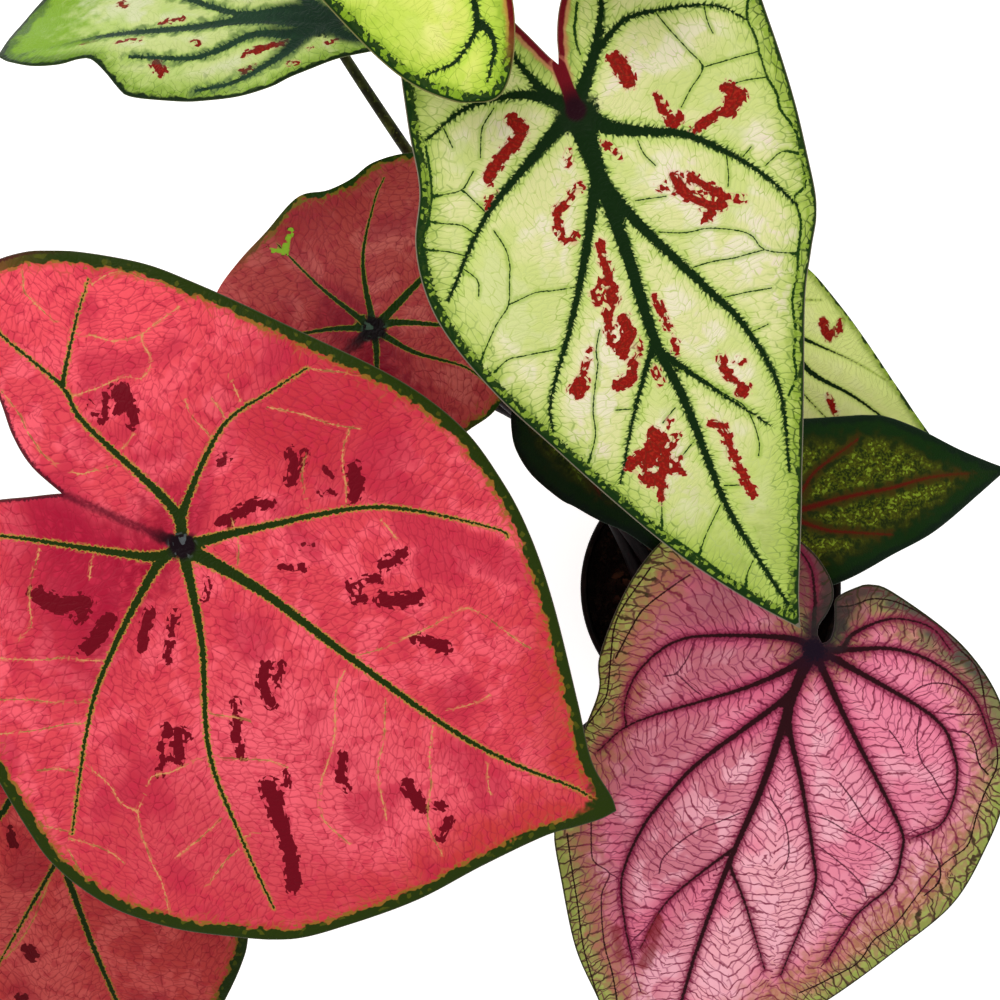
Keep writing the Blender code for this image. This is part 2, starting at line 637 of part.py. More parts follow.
def add_stalk(name, leaf):
    x, y, bottom = stalk_foot(leaf)
    tipward, side, up = axes(leaf)
    thickest = max(half for half, _ in leaf["veins"])
    top = Vector(leaf["hub"]) - up * (BLADE + RIB_HEIGHT * thickest + GAP)
    collar = Vector((x, y, SOIL_TOP + 6))
    chord = top - collar
    arrive = (chord.normalized() + up * 0.35).normalized()
    first = collar + Vector((chord.x * 0.12, chord.y * 0.12, chord.z * 0.45))
    second = top - arrive * chord.length * 0.3
    if "handles" in leaf:
        first, second = (Vector(handle) for handle in leaf["handles"])
    path = []
    radii = []
    for i in range(STALK_RINGS):
        t = 1 - i / (STALK_RINGS - 1)
        s = 1 - t
        spot = collar * s ** 3 + first * 3 * s * s * t + second * 3 * s * t * t + top * t ** 3
        path.append(spot)
        radii.append(STALK_TOP + (STALK_BASE - STALK_TOP) * s ** 0.8)
    path.append(Vector((x, y, bottom)))
    radii.append(STALK_BASE)
    points, faces = tube(path, radii, tipward, STALK_SIDES, (tipward, -side))
    add_object(name, points, faces, leaf["kind"] + "_stalk")


def build():
    clear_scene()
    add_pot()
    add_soil()
    for kind in TUBERS:
        add_object(f"tuber_{kind}", *tuber_shape(kind, 0), "tuber")
    for name, leaf in LEAVES.items():
        add_blade(f"blade_{name}", leaf)
        add_stalk(f"stalk_{name}", leaf)


build()
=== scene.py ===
"""The looks of a potted caladium, seen from straight above: ten leaves over the rim of one pot.

The frame gives the pot, soil, tubers, stalks and blades. Each blade is made again here from the
same outline, veins and bends, far finer, and carries what its skin needs: how far each point is
from the veins, the edge and the splashes. Tables are in millimetres, and meshes in metres.
"""

import math

import bpy
import numpy as np
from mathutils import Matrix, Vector, noise
from mathutils.geometry import delaunay_2d_cdt


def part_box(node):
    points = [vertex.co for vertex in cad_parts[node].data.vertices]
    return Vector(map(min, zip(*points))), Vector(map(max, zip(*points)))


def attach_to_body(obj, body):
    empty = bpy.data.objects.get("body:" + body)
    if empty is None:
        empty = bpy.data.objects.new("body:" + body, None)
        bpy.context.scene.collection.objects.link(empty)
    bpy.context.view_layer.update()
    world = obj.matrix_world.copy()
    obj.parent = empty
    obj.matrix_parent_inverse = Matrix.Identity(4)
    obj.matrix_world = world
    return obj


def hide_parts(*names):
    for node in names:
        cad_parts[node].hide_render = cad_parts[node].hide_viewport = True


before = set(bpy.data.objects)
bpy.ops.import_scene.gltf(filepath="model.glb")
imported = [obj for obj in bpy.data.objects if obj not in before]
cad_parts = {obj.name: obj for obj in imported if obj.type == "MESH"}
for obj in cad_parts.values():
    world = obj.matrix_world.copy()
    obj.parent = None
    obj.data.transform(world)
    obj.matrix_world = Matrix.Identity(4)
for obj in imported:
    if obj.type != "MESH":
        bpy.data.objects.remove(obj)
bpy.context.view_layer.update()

MM = 0.001

# Light: how strong the sky and the floor's own glow are, and one soft lamp, in metres and watts
SKY = 0.75
FLOOR_GLOW = 0.6
FLOOR_REACH = 40000
LAMP_PLACE = (-0.9, 1.1, 2.2)
LAMP_WIDTH = 1.8
LAMP_POWER = 22.0

# Camera, straight above the plant, 90 cm over the pot's rim
CAMERA_X = -97.0
CAMERA_Y = 40.5
CAMERA_HEIGHT = 1005.0
LENS_MM = 70.47

# Blade: its thickness between the veins, and how far its edge is rounded outwards
THIN = 0.5
EDGE_ROUND = 0.15
# A main vein's rib below and groove above, for each mm of half width, and what it loses by its end
RIB_HEIGHT = 0.65
GROOVE = 0.25
VEIN_TAPER = 0.7
COLOUR_TAPER = 0.35
# The face stands higher between main veins and dips along thin ones: how much, and how far out
PUCKER = 1.3
PUCKER_REACH = 9.0
QUILT = 0.35
QUILT_REACH = 3.0
TWIG_HALF = 0.35
# A main vein's colour is wider near the stalk, within this reach
HUB_REACH = 20.0
# A distance beyond all others, where a blade has no thin veins or splashes
FAR = 99.0
# The triangles: steps along lines, steps of the grid between, and what counts as on or off a line
LINE_STEP = 2.0
GRID = 2.1
ON_LINE = 0.1
OFF_LINE = 0.3
# The net of veins: how far its rungs lean to the tip, what sets the nets of two main veins apart,
# and how far the net's place may leap within one face
SLANT = 0.45
NET_SHIFT = 211.0
LEAP = 6.0

# Stalk. A blade's solid is BLADE thick, and GAP is left between solids.
BLADE = 0.8
GAP = 0.35
STALK_BASE = 3.0
STALK_TOP = 1.8
STALK_SIDES = 16
STALK_RINGS = 60
STALK_RING = 6.5
STALK_COLLAR = 6.0
# Its curve: how it rises at first, how it turns to the blade, and how far out that turn starts
RISE = (0.12, 0.12, 0.45)
ARRIVE = 0.35
ARRIVE_REACH = 0.3
STALK_TAPER = 0.8
END_DOME = 0.3

# Pot and soil
POT_HEIGHT = 105.0
RIM_RADIUS = 60.0
RIM_BAND = 20.0
RIM_STEP = 3.0
BASE_RADIUS = 42.5
WALL = 1.6
FLOOR = 2.0
POT_SIDES = 128
DRAIN_HOLES = 8
DRAIN_RADIUS = 4.0
DRAIN_RING = 31.0
DRAIN_SIDES = 24
SHARP_DEGREES = 50
SOIL_TOP = 92.0
SOIL_DOME = 2.5
SOIL_BUMP = 1.3
SOIL_LUMP = 9.0
SOIL_RINGS = 12
SOIL_SIDES = 40
TUBER_MIDDLE = 70.0
TUBER_CROWN = 1.06
TUBERS = {
    "cream": ((8, 24), 15.0, 9.0),
    "red": ((-24, -4), 15.0, 9.0),
    "pink": ((8, -26), 13.0, 8.0),
    "dark": ((27, 0), 11.5, 8.0),
}

# Each leaf lies in a plane of its own: u runs from the hub to the tip and v to the side. The
# numbers are those of the frame's blades: root and handles give its stalk's foot and bow, heading,
# pitch and roll are the plane's turns in degrees, droop, back and arch how far the blade bends
# down, wave and waves how deep and how many its ripples are, phase where they start, and sinus the
# notch. A vein is its half width where it starts, then its points.
LEAVES = {
    "cream_large": {
        "kind": "cream", "root": -65, "hub": (-71.4, 172.0, 345), "heading": -65, "pitch": -8,
        "roll": 0, "length": 197, "droop": 22, "back": 10, "arch": 30, "wave": 5, "waves": 5,
        "phase": 0.5, "sinus": (-16, 0.8), "tip": (201, 0),
        "left": [(-20, -1.2), (-28, -4.2), (-38, -8), (-55, -13), (-66, -21), (-67, -33),
                 (-56, -42), (-37, -48), (-17, -54), (2, -59), (18, -68), (35, -72), (53, -71),
                 (78, -64), (102, -54), (130, -42), (157, -29), (183, -13)],
        "right": [(-19, 2.2), (-24, 4), (-30, 7), (-35, 10.5), (-41, 16), (-50, 25), (-57, 40),
                  (-54, 56), (-42, 68), (-25, 74), (-7, 73), (25, 70), (45, 67), (64, 63), (77, 55),
                  (92, 46), (124, 32), (156, 18), (184, 6)],
        "veins": [
            (2.6, [(0, 0), (25, -2), (52, -4), (82, -7), (106, -6), (146, -7), (170, -4),
                   (195, 0)]),
            (1.9, [(25, -2), (44, 4), (75, 17), (90, 23), (116, 26), (145, 18)]),
            (1.9, [(0, 0), (10, 8), (17, 20), (24, 32), (43, 48), (61, 57)]),
            (1.7, [(0, 0), (-13, 12), (-24, 20), (-35, 26), (-49, 37)]),
            (1.0, [(-13, 12), (-19, 23), (-20, 33), (-13, 56), (-3, 66)]),
            (1.8, [(22, -2), (44, -16), (65, -31), (86, -48), (97, -52)]),
            (1.7, [(0, 0), (8, -19), (20, -43), (40, -66)]),
            (1.6, [(0, 0), (-11, -12), (-16, -32), (-12, -50)]),
            (1.2, [(0, 0), (-12, -8), (-34, -14), (-55, -19)]),
            (1.0, [(82, -7), (102, -23), (124, -38)]),
            (1.0, [(88, -6), (105, 4), (127, 18)]),
        ],
    },
    "cream_high": {
        "kind": "cream", "root": 115, "handles": ((-19, 55, 218), (-97, 183, 270)),
        "hub": (-111.6, 242.3, 368), "heading": 127, "pitch": -12, "roll": 0, "length": 150,
        "droop": 20, "back": 14, "arch": 30, "wave": 4, "waves": 5, "phase": 0.0, "sinus": (-4, 0),
        "tip": (150, 0),
        "left": [(-15, -2), (-32, -5), (-50, -10), (-62, -20), (-66, -33), (-58, -45), (-38, -54),
                 (-12, -58), (18, -58), (48, -53), (78, -42), (108, -26), (132, -11)],
        "right": [(-15, 2), (-30, 5), (-45, 10), (-58, 19), (-66, 28), (-67, 35), (-60, 44),
                  (-41, 53), (-15, 57), (15, 58), (45, 54), (75, 44), (105, 28), (131, 12)],
        "veins": [
            (2.2, [(0, 0), (40, 1), (80, 0), (115, -1), (143, 0)]),
            (1.7, [(0, 0), (20, 16), (45, 34), (72, 40)]),
            (1.6, [(0, 0), (2, 24), (10, 46)]),
            (1.9, [(0, 0), (-28, 15), (-43, 23), (-47, 29), (-49, 37), (-46, 46)]),
            (1.3, [(-43, 23), (-48, 22), (-54, 24), (-61, 32)]),
            (1.7, [(0, 0), (20, -16), (45, -34), (72, -38)]),
            (1.6, [(0, 0), (2, -24), (10, -46)]),
            (1.7, [(0, 0), (-24, -14), (-46, -32)]),
        ],
    },
    "cream_side": {
        "kind": "cream", "root": 190, "handles": ((-60, 75, 165), (-143, 189, 245)),
        "hub": (-160.9, 215.1, 290), "heading": 182, "pitch": -4, "roll": 32, "length": 122,
        "droop": 14, "back": 4, "arch": 16, "wave": 7, "waves": 7, "phase": 0.6, "sinus": (-12, 0),
        "tip": (126, -3),
        "left": [(-22, -3), (-36, -10), (-44, -24), (-38, -40), (-18, -50), (10, -56), (45, -58),
                 (80, -55), (104, -49), (117, -40), (124, -23)],
        "right": [(-24, 2), (-34, 5), (-37, 10), (-30, 13), (-17, 15.7), (-8, 18.4), (1, 21.7),
                  (11, 26.5), (18, 30.8), (29, 33.4), (44, 32), (60, 29.9), (71, 27.4), (75, 24),
                  (81, 16), (87, 9.6), (92, 9), (99, 10.5), (110, 9), (120, 3.2)],
        "veins": [
            (2.2, [(0, 0), (26, -4), (53, -3), (81, -5), (101, -3), (119, -3)]),
            (1.5, [(0, 0), (11, 5), (26, 4), (38, 10), (50, 13), (72, 10)]),
            (1.6, [(0, 0), (8, 6), (15, 15), (31, 25), (46, 27)]),
            (1.6, [(0, 0), (10, -7), (32, -8), (51, -19), (75, -36)]),
            (1.5, [(0, 0), (7, -12), (20, -30), (36, -48)]),
            (1.3, [(0, 0), (-12, -10), (-25, -22), (-36, -30)]),
            (1.2, [(0, 0), (-10, 8), (-28, 9)]),
        ],
    },
    "cream_low": {
        "kind": "cream", "root": 20, "hub": (14.6, 114.1, 196), "heading": -38, "pitch": -12,
        "roll": 0, "length": 100, "droop": 12, "back": 6, "arch": 20, "wave": 3, "waves": 5,
        "phase": 0.0, "sinus": (-5, 0), "tip": (114, 2),
        "left": [(-15, -5), (-25, -12), (-28, -21), (-20, -30), (-2, -34), (25, -34), (50, -28),
                 (75, -18), (97, -7)],
        "right": [(-15, 5), (-25, 12), (-27, 20), (-18, 26), (-2, 27), (10, 26), (25, 23), (50, 17),
                  (74, 11), (94, 7)],
        "veins": [
            (1.8, [(0, 0), (26, -5), (49, -1), (75, 1), (108, 2)]),
            (1.3, [(0, 0), (17, 4), (39, 10), (56, 13)]),
            (1.3, [(5, -1), (18, -10), (33, -14), (60, -16)]),
            (1.2, [(0, 0), (2, 12), (12, 21)]),
            (1.2, [(0, 0), (-12, 9), (-21, 18)]),
            (1.2, [(0, 0), (4, -16), (18, -28)]),
            (1.2, [(0, 0), (-12, -9), (-21, -21)]),
        ],
    },
    "red_large": {
        "kind": "red", "root": 180, "handles": ((-62, 90, 185), (-150, 125, 250)),
        "hub": (-208.6, 24.4, 318), "heading": -30.5, "pitch": -6, "roll": 0, "length": 178,
        "droop": 18, "back": 16, "arch": 24, "wave": 4, "waves": 6, "phase": 0.0,
        "sinus": (-45, -5), "tip": (187, -7),
        "left": [(-53, -11), (-68, -23), (-73, -36), (-72, -48), (-63, -63), (-32, -92), (4, -116),
                 (21, -124), (43, -127), (65, -123), (85, -115), (105, -105), (121, -90),
                 (139, -70), (153, -49), (168, -28), (176, -20), (183, -13)],
        "right": [(-59, -2), (-70, 4), (-81, 13), (-101, 26), (-110, 44), (-96, 63), (-66, 77),
                  (-41, 82), (-2, 86), (36, 89), (64, 86), (86, 77), (104, 66), (124, 49),
                  (151, 22), (168, 5), (182, -3)],
        "veins": [
            (2.2, [(0, 0), (32, 0), (71, -5), (116, -10), (142, -10), (169, -7), (180, -8)]),
            (1.6, [(0, 0), (22, 21), (46, 42), (65, 52), (94, 61), (99, 60)]),
            (1.5, [(0, 0), (-6, 12), (-9, 43), (-1, 62), (6, 76)]),
            (1.7, [(0, 0), (-10, 10), (-51, 20), (-64, 27), (-92, 32), (-104, 37)]),
            (0.9, [(-64, 27), (-71, 48), (-75, 64)]),
            (1.6, [(0, 0), (23, -26), (45, -59), (71, -81), (94, -98)]),
            (1.6, [(0, 0), (-4, -12), (-2, -48), (3, -71), (18, -110)]),
            (1.7, [(0, 0), (-6, -8), (-27, -17), (-56, -29), (-68, -40)]),
        ],
    },
    "red_small": {
        "kind": "red", "root": 80, "handles": ((-48, 44, 172), (-118, 108, 235)),
        "hub": (-143.7, 103.8, 280), "heading": 40, "pitch": -4, "roll": 0, "length": 76,
        "droop": 8, "back": 6, "arch": 8, "wave": 3, "waves": 6, "phase": 0.0, "sinus": (-15, 0),
        "tip": (90, 3),
        "left": [(-26, -4), (-36, -12), (-45, -26), (-41, -41), (-28, -49), (-13, -50), (3, -51),
                 (18, -51), (39, -40), (60, -24), (78, -9)],
        "right": [(-26, 4), (-36, 14), (-45, 28), (-44, 41), (-35, 48), (-21, 52), (-7, 54),
                  (10, 56), (20, 51), (30, 49), (41, 49), (54, 43), (68, 29), (80, 14)],
        "veins": [
            (1.5, [(0, 0), (24, 3), (52, 6), (82, 4)]),
            (1.1, [(0, 0), (13, 22), (31, 37), (40, 42)]),
            (1.1, [(0, 0), (-5, 24), (-7, 48)]),
            (1.1, [(0, 0), (-12, 10), (-36, 24)]),
            (1.2, [(0, 0), (10, -5), (33, -28), (38, -36)]),
            (1.1, [(0, 0), (6, -16), (17, -32), (20, -44)]),
            (1.1, [(0, 0), (-7, -10), (-28, -34)]),
        ],
    },
    "red_low": {
        "kind": "red", "root": 270, "handles": ((-46, -106, 150), (-195, -98, 185)),
        "hub": (-278.3, -64.4, 258), "heading": -68.5, "pitch": -15, "roll": 0, "length": 145,
        "droop": 16, "back": 8, "arch": 14, "wave": 4, "waves": 5, "phase": 0.0, "sinus": (-12, 0),
        "tip": (168, -14),
        "left": [(-24, -6), (-42, -20), (-50, -38), (-44, -54), (-26, -66), (0, -72), (30, -72),
                 (60, -68), (90, -60), (118, -47), (140, -33), (158, -20)],
        "right": [(-24, 5), (-42, 18), (-52, 34), (-50, 50), (-34, 62), (-10, 68), (20, 69),
                  (50, 66), (78, 59), (99, 50), (109, 43), (122, 30), (140, 10), (155, -5)],
        "veins": [
            (2.0, [(0, 0), (36, -2), (80, -7), (104, -9), (160, -14)]),
            (1.0, [(36, -2), (56, -26), (74, -48)]),
            (1.3, [(0, 0), (12, -16), (26, -40), (42, -62)]),
            (1.4, [(0, 0), (20, 22), (48, 44), (78, 52)]),
            (1.3, [(0, 0), (-4, 22), (-2, 54)]),
            (1.3, [(0, 0), (-22, 12), (-42, 34)]),
            (1.3, [(0, 0), (-10, -24), (-6, -60)]),
            (1.3, [(0, 0), (-22, -14), (-42, -36)]),
        ],
    },
    "pink_large": {
        "kind": "pink", "root": 20, "hub": (24.1, -17.4, 250), "heading": -110, "pitch": -14,
        "roll": 0, "length": 196, "droop": 20, "back": 10, "arch": 26, "wave": 4, "waves": 5,
        "phase": 1.0, "sinus": (-3.5, 2), "tip": (216, 12),
        "left": [(-6, -1), (-10, -2), (-16, -0.8), (-23, -1.2), (-30, -6), (-37, -17), (-41, -34),
                 (-38, -53), (-27, -65), (-13, -72), (7, -76), (33, -76), (46, -71.5), (65, -71),
                 (98, -70), (112, -67), (131, -57), (158, -41), (177, -24), (196, -8)],
        "right": [(-6, 4.2), (-11, 3.9), (-17, 1.9), (-21, 0.2), (-24, 1), (-28.5, 5), (-32, 10),
                  (-32, 20), (-22, 51), (-7, 73), (12, 86), (31, 92), (52, 94), (82, 92), (112, 78),
                  (139, 63), (162, 46), (187, 28)],
        "veins": [
            (2.4, [(0, 0), (17, -1), (58, 2), (96, 2), (135, 4), (162, 7), (209, 13)]),
            (1.7, [(12, -1), (31, 2), (55, 17), (81, 32), (96, 38), (136, 40)]),
            (1.6, [(0, 0), (23, 23), (56, 58), (67, 64), (82, 66), (101, 58), (124, 55)]),
            (1.6, [(0, 0), (1, 12), (9, 52), (20, 66), (34, 73), (50, 74), (60, 66)]),
            (1.4, [(0, 0), (-5, 13), (-11, 28), (-11, 46), (-3, 65), (12, 79)]),
            (1.0, [(-5, 10), (-12, 12), (-22, 23), (-24, 38), (-18, 49)]),
            (0.9, [(96, 2), (111, 15), (136, 33)]),
            (1.7, [(12, -1), (22, -3), (57, -23), (75, -30), (95, -35), (119, -35), (138, -27),
                   (153, -18)]),
            (1.5, [(3, -1), (9, -5), (24, -19), (53, -53), (71, -63)]),
            (1.4, [(0, 0), (-1, -11), (10, -41), (19, -53), (34, -60), (48, -60), (57, -56)]),
            (1.2, [(0, 0), (-13, -5), (-19, -7), (-31, -14), (-39, -27)]),
            (0.9, [(88, 2), (105, -7), (124, -15), (147, -17)]),
        ],
    },
    "dark_side": {
        "kind": "dark", "root": 120, "hub": (16.2, 34.5, 222), "heading": 11, "pitch": -10,
        "roll": 0, "length": 94, "droop": 10, "back": 6, "arch": 24, "wave": 4, "waves": 5,
        "phase": 0.0, "sinus": (-6, 0), "tip": (103, 0),
        "left": [(-16, -4), (-28, -10), (-33, -20), (-26, -30), (-8, -34), (19, -31), (42, -25),
                 (64, -19), (87, -8)],
        "right": [(-16, 4), (-28, 12), (-33, 22), (-26, 33), (-8, 38), (8, 38), (19, 36), (36, 34),
                  (49, 32), (62, 25), (79, 13), (93, 5)],
        "veins": [
            (1.8, [(0, 0), (28, 2), (47, 2), (68, 3), (97, 0)]),
            (1.2, [(0, 0), (16, -9), (26, -12), (46, -17)]),
            (1.2, [(0, 0), (11, 9), (18, 15), (38, 24)]),
            (1.1, [(0, 0), (-2, 14), (4, 30)]),
            (1.1, [(0, 0), (-2, -12), (6, -26)]),
            (1.1, [(0, 0), (-12, 8), (-25, 20)]),
            (1.1, [(0, 0), (-12, -8), (-25, -19)]),
        ],
    },
    "dark_middle": {
        "kind": "dark", "root": 210, "hub": (-64.2, 69.1, 258), "heading": -47, "pitch": -8,
        "roll": 0, "length": 84, "droop": 8, "back": 5, "arch": 16, "wave": 3, "waves": 5,
        "phase": 0.0, "sinus": (-5, 0), "tip": (86, -4),
        "left": [(-13, -3), (-22, -9), (-24, -16), (-18, -22), (-11, -26), (0, -28), (14, -26.4),
                 (20, -24.3), (27, -22.2), (33, -20), (41, -16.5), (52, -14), (66, -11)],
        "right": [(-13, 3), (-22, 9), (-25, 17), (-18, 25), (-2, 28), (15, 27), (33, 22), (52, 13),
                  (70, 4)],
        "veins": [
            (1.5, [(0, 0), (28, 0), (55, -2), (80, -4)]),
            (1.1, [(0, 0), (14, 11), (32, 17)]),
            (1.1, [(0, 0), (12, -10), (26, -15)]),
            (1.1, [(0, 0), (-10, 8), (-18, 17)]),
            (1.1, [(0, 0), (-8, -8), (-15, -16)]),
        ],
    },
}

# Thin veins, as points in the same plane
TWIGS = {
    "cream_large": [
        [(-10, -51), (-3, -53), (5, -56), (13, -61), (19, -66), (26, -68), (33, -70), (40, -70),
         (43, -69), (60, -70), (67, -68), (86, -62), (105, -53), (114, -47), (130, -40), (145, -32),
         (160, -23), (170, -18), (181, -12)],
        [(-12, -25), (-8, -31), (-3, -34), (1, -36)],
        [(4, -40), (8, -46), (7, -52), (6, -56)],
        [(8, -46), (18, -42)],
        [(13, -61), (16, -56), (19, -51), (24, -48)],
        [(21, -66), (25, -59), (29, -54)],
        [(-13, -43), (-6, -43)],
        [(25, -42), (32, -41), (38, -42), (42, -44), (50, -48), (54, -54), (60, -61), (64, -65)],
        [(50, -48), (50, -38), (52, -32), (54, -25)],
        [(32, -57), (38, -54), (43, -56)],
        [(69, -62), (67, -56), (68, -51), (71, -39)],
        [(36, 6), (39, 16)],
        [(18, 15), (23, 15), (28, 17)],
        [(94, -3), (102, 3), (109, 7), (116, 12), (123, 13), (131, 12), (135, 10)],
        [(81, -28), (95, -36), (104, -39), (112, -45)],
        [(101, -24), (99, -29)],
        [(107, -10), (110, -16)],
        [(121, -9), (124, -15)],
        [(135, -27), (145, -31)],
        [(146, -9), (154, -18), (160, -23)],
        [(170, -6), (174, -10), (180, -13)],
        [(-11, 70), (-4, 66), (3, 66), (8, 65), (17, 64), (23, 65), (29, 64), (37, 66), (45, 65),
         (56, 62), (58, 57), (66, 56), (75, 51), (83, 47), (90, 42), (100, 39), (108, 35),
         (115, 33), (120, 28)],
        [(94, 25), (94, 31)],
        [(142, 0), (140, -5)],
        [(-19, 38), (-11, 40), (-2, 43), (5, 45), (10, 38), (14, 33)],
        [(5, 45), (6, 52), (7, 59), (8, 65)],
        [(-13, 54), (-8, 53), (-4, 53)],
        [(14, 51), (15, 57), (17, 64)],
        [(35, 41), (41, 39), (45, 37)],
        [(38, 46), (36, 50)],
        [(49, 9), (53, 17), (55, 25), (60, 34), (64, 38), (70, 40), (76, 50)],
        [(65, 15), (66, 22), (68, 29), (69, 35), (70, 40)],
        [(79, 21), (81, 30), (83, 37)],
        [(44, 52), (42, 59), (45, 64)],
        [(-32, 15), (-23, 10), (-16, 9)],
        [(71, -23), (77, -27), (81, -28)],
    ],
    "red_large": [
        [(-59, 26), (-53, 33), (-47, 41), (-42, 43), (-41, 46), (-42, 51), (-47, 54), (-49, 57),
         (-46, 65), (-43, 72)],
        [(-70, 45), (-63, 48), (-56, 50), (-49, 57)],
        [(-73, 45), (-81, 46), (-89, 48), (-92, 49), (-96, 55)],
        [(-73, 63), (-70, 69), (-65, 73), (-58, 74), (-51, 77)],
        [(-34, 13), (-39, 8), (-43, 4), (-48, 3), (-56, 3), (-63, 6), (-67, 8), (-71, 11),
         (-78, 14), (-81, 15)],
        [(-35, 19), (-34, 26)],
        [(-10, 38), (-20, 41), (-25, 45)],
        [(-9, 46), (-17, 50)],
        [(-8, 54), (-16, 60)],
        [(1, 57), (12, 61), (22, 63), (33, 67)],
        [(6, 76), (15, 80), (24, 84), (32, 86)],
        [(31, 34), (24, 42), (21, 50)],
        [(42, 42), (39, 47), (34, 53), (31, 59), (30, 65)],
        [(20, 4), (17, 10), (9, 18)],
        [(-42, -26), (-39, -37), (-35, -45), (-31, -51), (-33, -58)],
        [(-25, -19), (-22, -26)],
        [(-36, -67), (-23, -60), (-16, -55), (-9, -52), (-3, -49)],
        [(-29, -80), (-19, -74), (-10, -70), (1, -63)],
        [(-23, -91), (-11, -82), (-3, -75), (2, -72)],
        [(-4, -95), (2, -91), (8, -89)],
        [(10, -85), (20, -87), (28, -91), (34, -91), (38, -96), (48, -105), (55, -110), (63, -119)],
        [(45, -61), (41, -66), (37, -72), (32, -77), (33, -83), (34, -91)],
        [(47, -60), (55, -56), (65, -51), (72, -50)],
        [(38, -47), (48, -43), (52, -42)],
        [(72, -4), (78, 2), (82, 8), (87, 14), (91, 20), (95, 27), (98, 31), (105, 32), (113, 31),
         (122, 30), (126, 30)],
        [(72, -10), (73, -18), (81, -33), (84, -44), (85, -49), (92, -60), (106, -64)],
        [(90, -12), (97, -25), (101, -36), (113, -50)],
        [(110, -12), (115, -23), (120, -30), (127, -44), (138, -52)],
        [(133, -12), (139, -21), (142, -24)],
        [(111, -5), (118, 2), (122, 8)],
        [(56, 43), (64, 40)],
        [(18, -112), (25, -110), (34, -109), (39, -110)],
        [(20, -116), (30, -122), (38, -125)],
        [(61, -78), (58, -88), (54, -99)],
        [(72, -85), (70, -91), (69, -103)],
        [(71, -80), (75, -76)],
        [(16, -110), (8, -112)],
    ],
    "pink_large": [
        [(-8, -70), (15, -75), (31, -72), (42, -69), (50, -68), (63, -71)],
        [(-11, -55), (-2, -61), (9, -67), (21, -69), (31, -70)],
        [(13, -44), (20, -44), (28, -46), (31, -50)],
        [(28, -46), (32, -37), (33, -34)],
        [(110, -62), (124, -55), (139, -47), (155, -39), (167, -31), (177, -24)],
        [(92, -58), (114, -50), (118, -46), (120, -40), (129, -40), (138, -37), (151, -31),
         (163, -23), (174, -17)],
        [(120, -40), (121, -36), (129, -32), (139, -26), (147, -21), (158, -15), (165, -10)],
        [(98, 0), (107, -7), (116, -12), (127, -16), (136, -18), (147, -22)],
        [(73, -1), (80, -8), (86, -14), (94, -19), (104, -23), (111, -22)],
        [(-28, 32), (-25, 41), (-20, 51), (-14, 62), (1, 72), (11, 80), (20, 84), (31, 84),
         (42, 85), (55, 87), (63, 83), (70, 80), (85, 77), (99, 74), (108, 69), (120, 67),
         (131, 59), (141, 50)],
        [(8, 51), (6, 58), (2, 71)],
        [(13, 60), (11, 67), (14, 72), (21, 77), (24, 82)],
        [(11, 48), (21, 51), (28, 56), (32, 62), (38, 69), (41, 74)],
        [(20, 39), (24, 45), (27, 48)],
        [(4, 41), (-1, 44), (-4, 49), (-5, 56), (-3, 65)],
        [(-19, 1), (-22, 7), (-27, 13), (-29, 22), (-28, 32)],
        [(65, 23), (64, 31), (66, 41), (67, 50), (69, 58), (72, 62)],
        [(75, 29), (78, 38), (81, 46), (86, 55), (91, 59)],
        [(93, 38), (97, 45), (101, 51), (102, 58)],
        [(47, 29), (51, 35), (54, 39), (59, 45), (62, 52), (61, 56)],
        [(62, 61), (56, 66), (50, 73), (40, 74)],
        [(60, 63), (59, 70), (66, 79), (74, 83), (82, 80)],
        [(91, 60), (102, 58), (109, 58), (117, 56), (127, 54)],
        [(59, 4), (64, 8), (71, 16), (82, 22), (90, 23)],
    ],
    "red_low": [
        [(43, -9), (55, -20), (64, -31), (69, -40)],
    ],
}

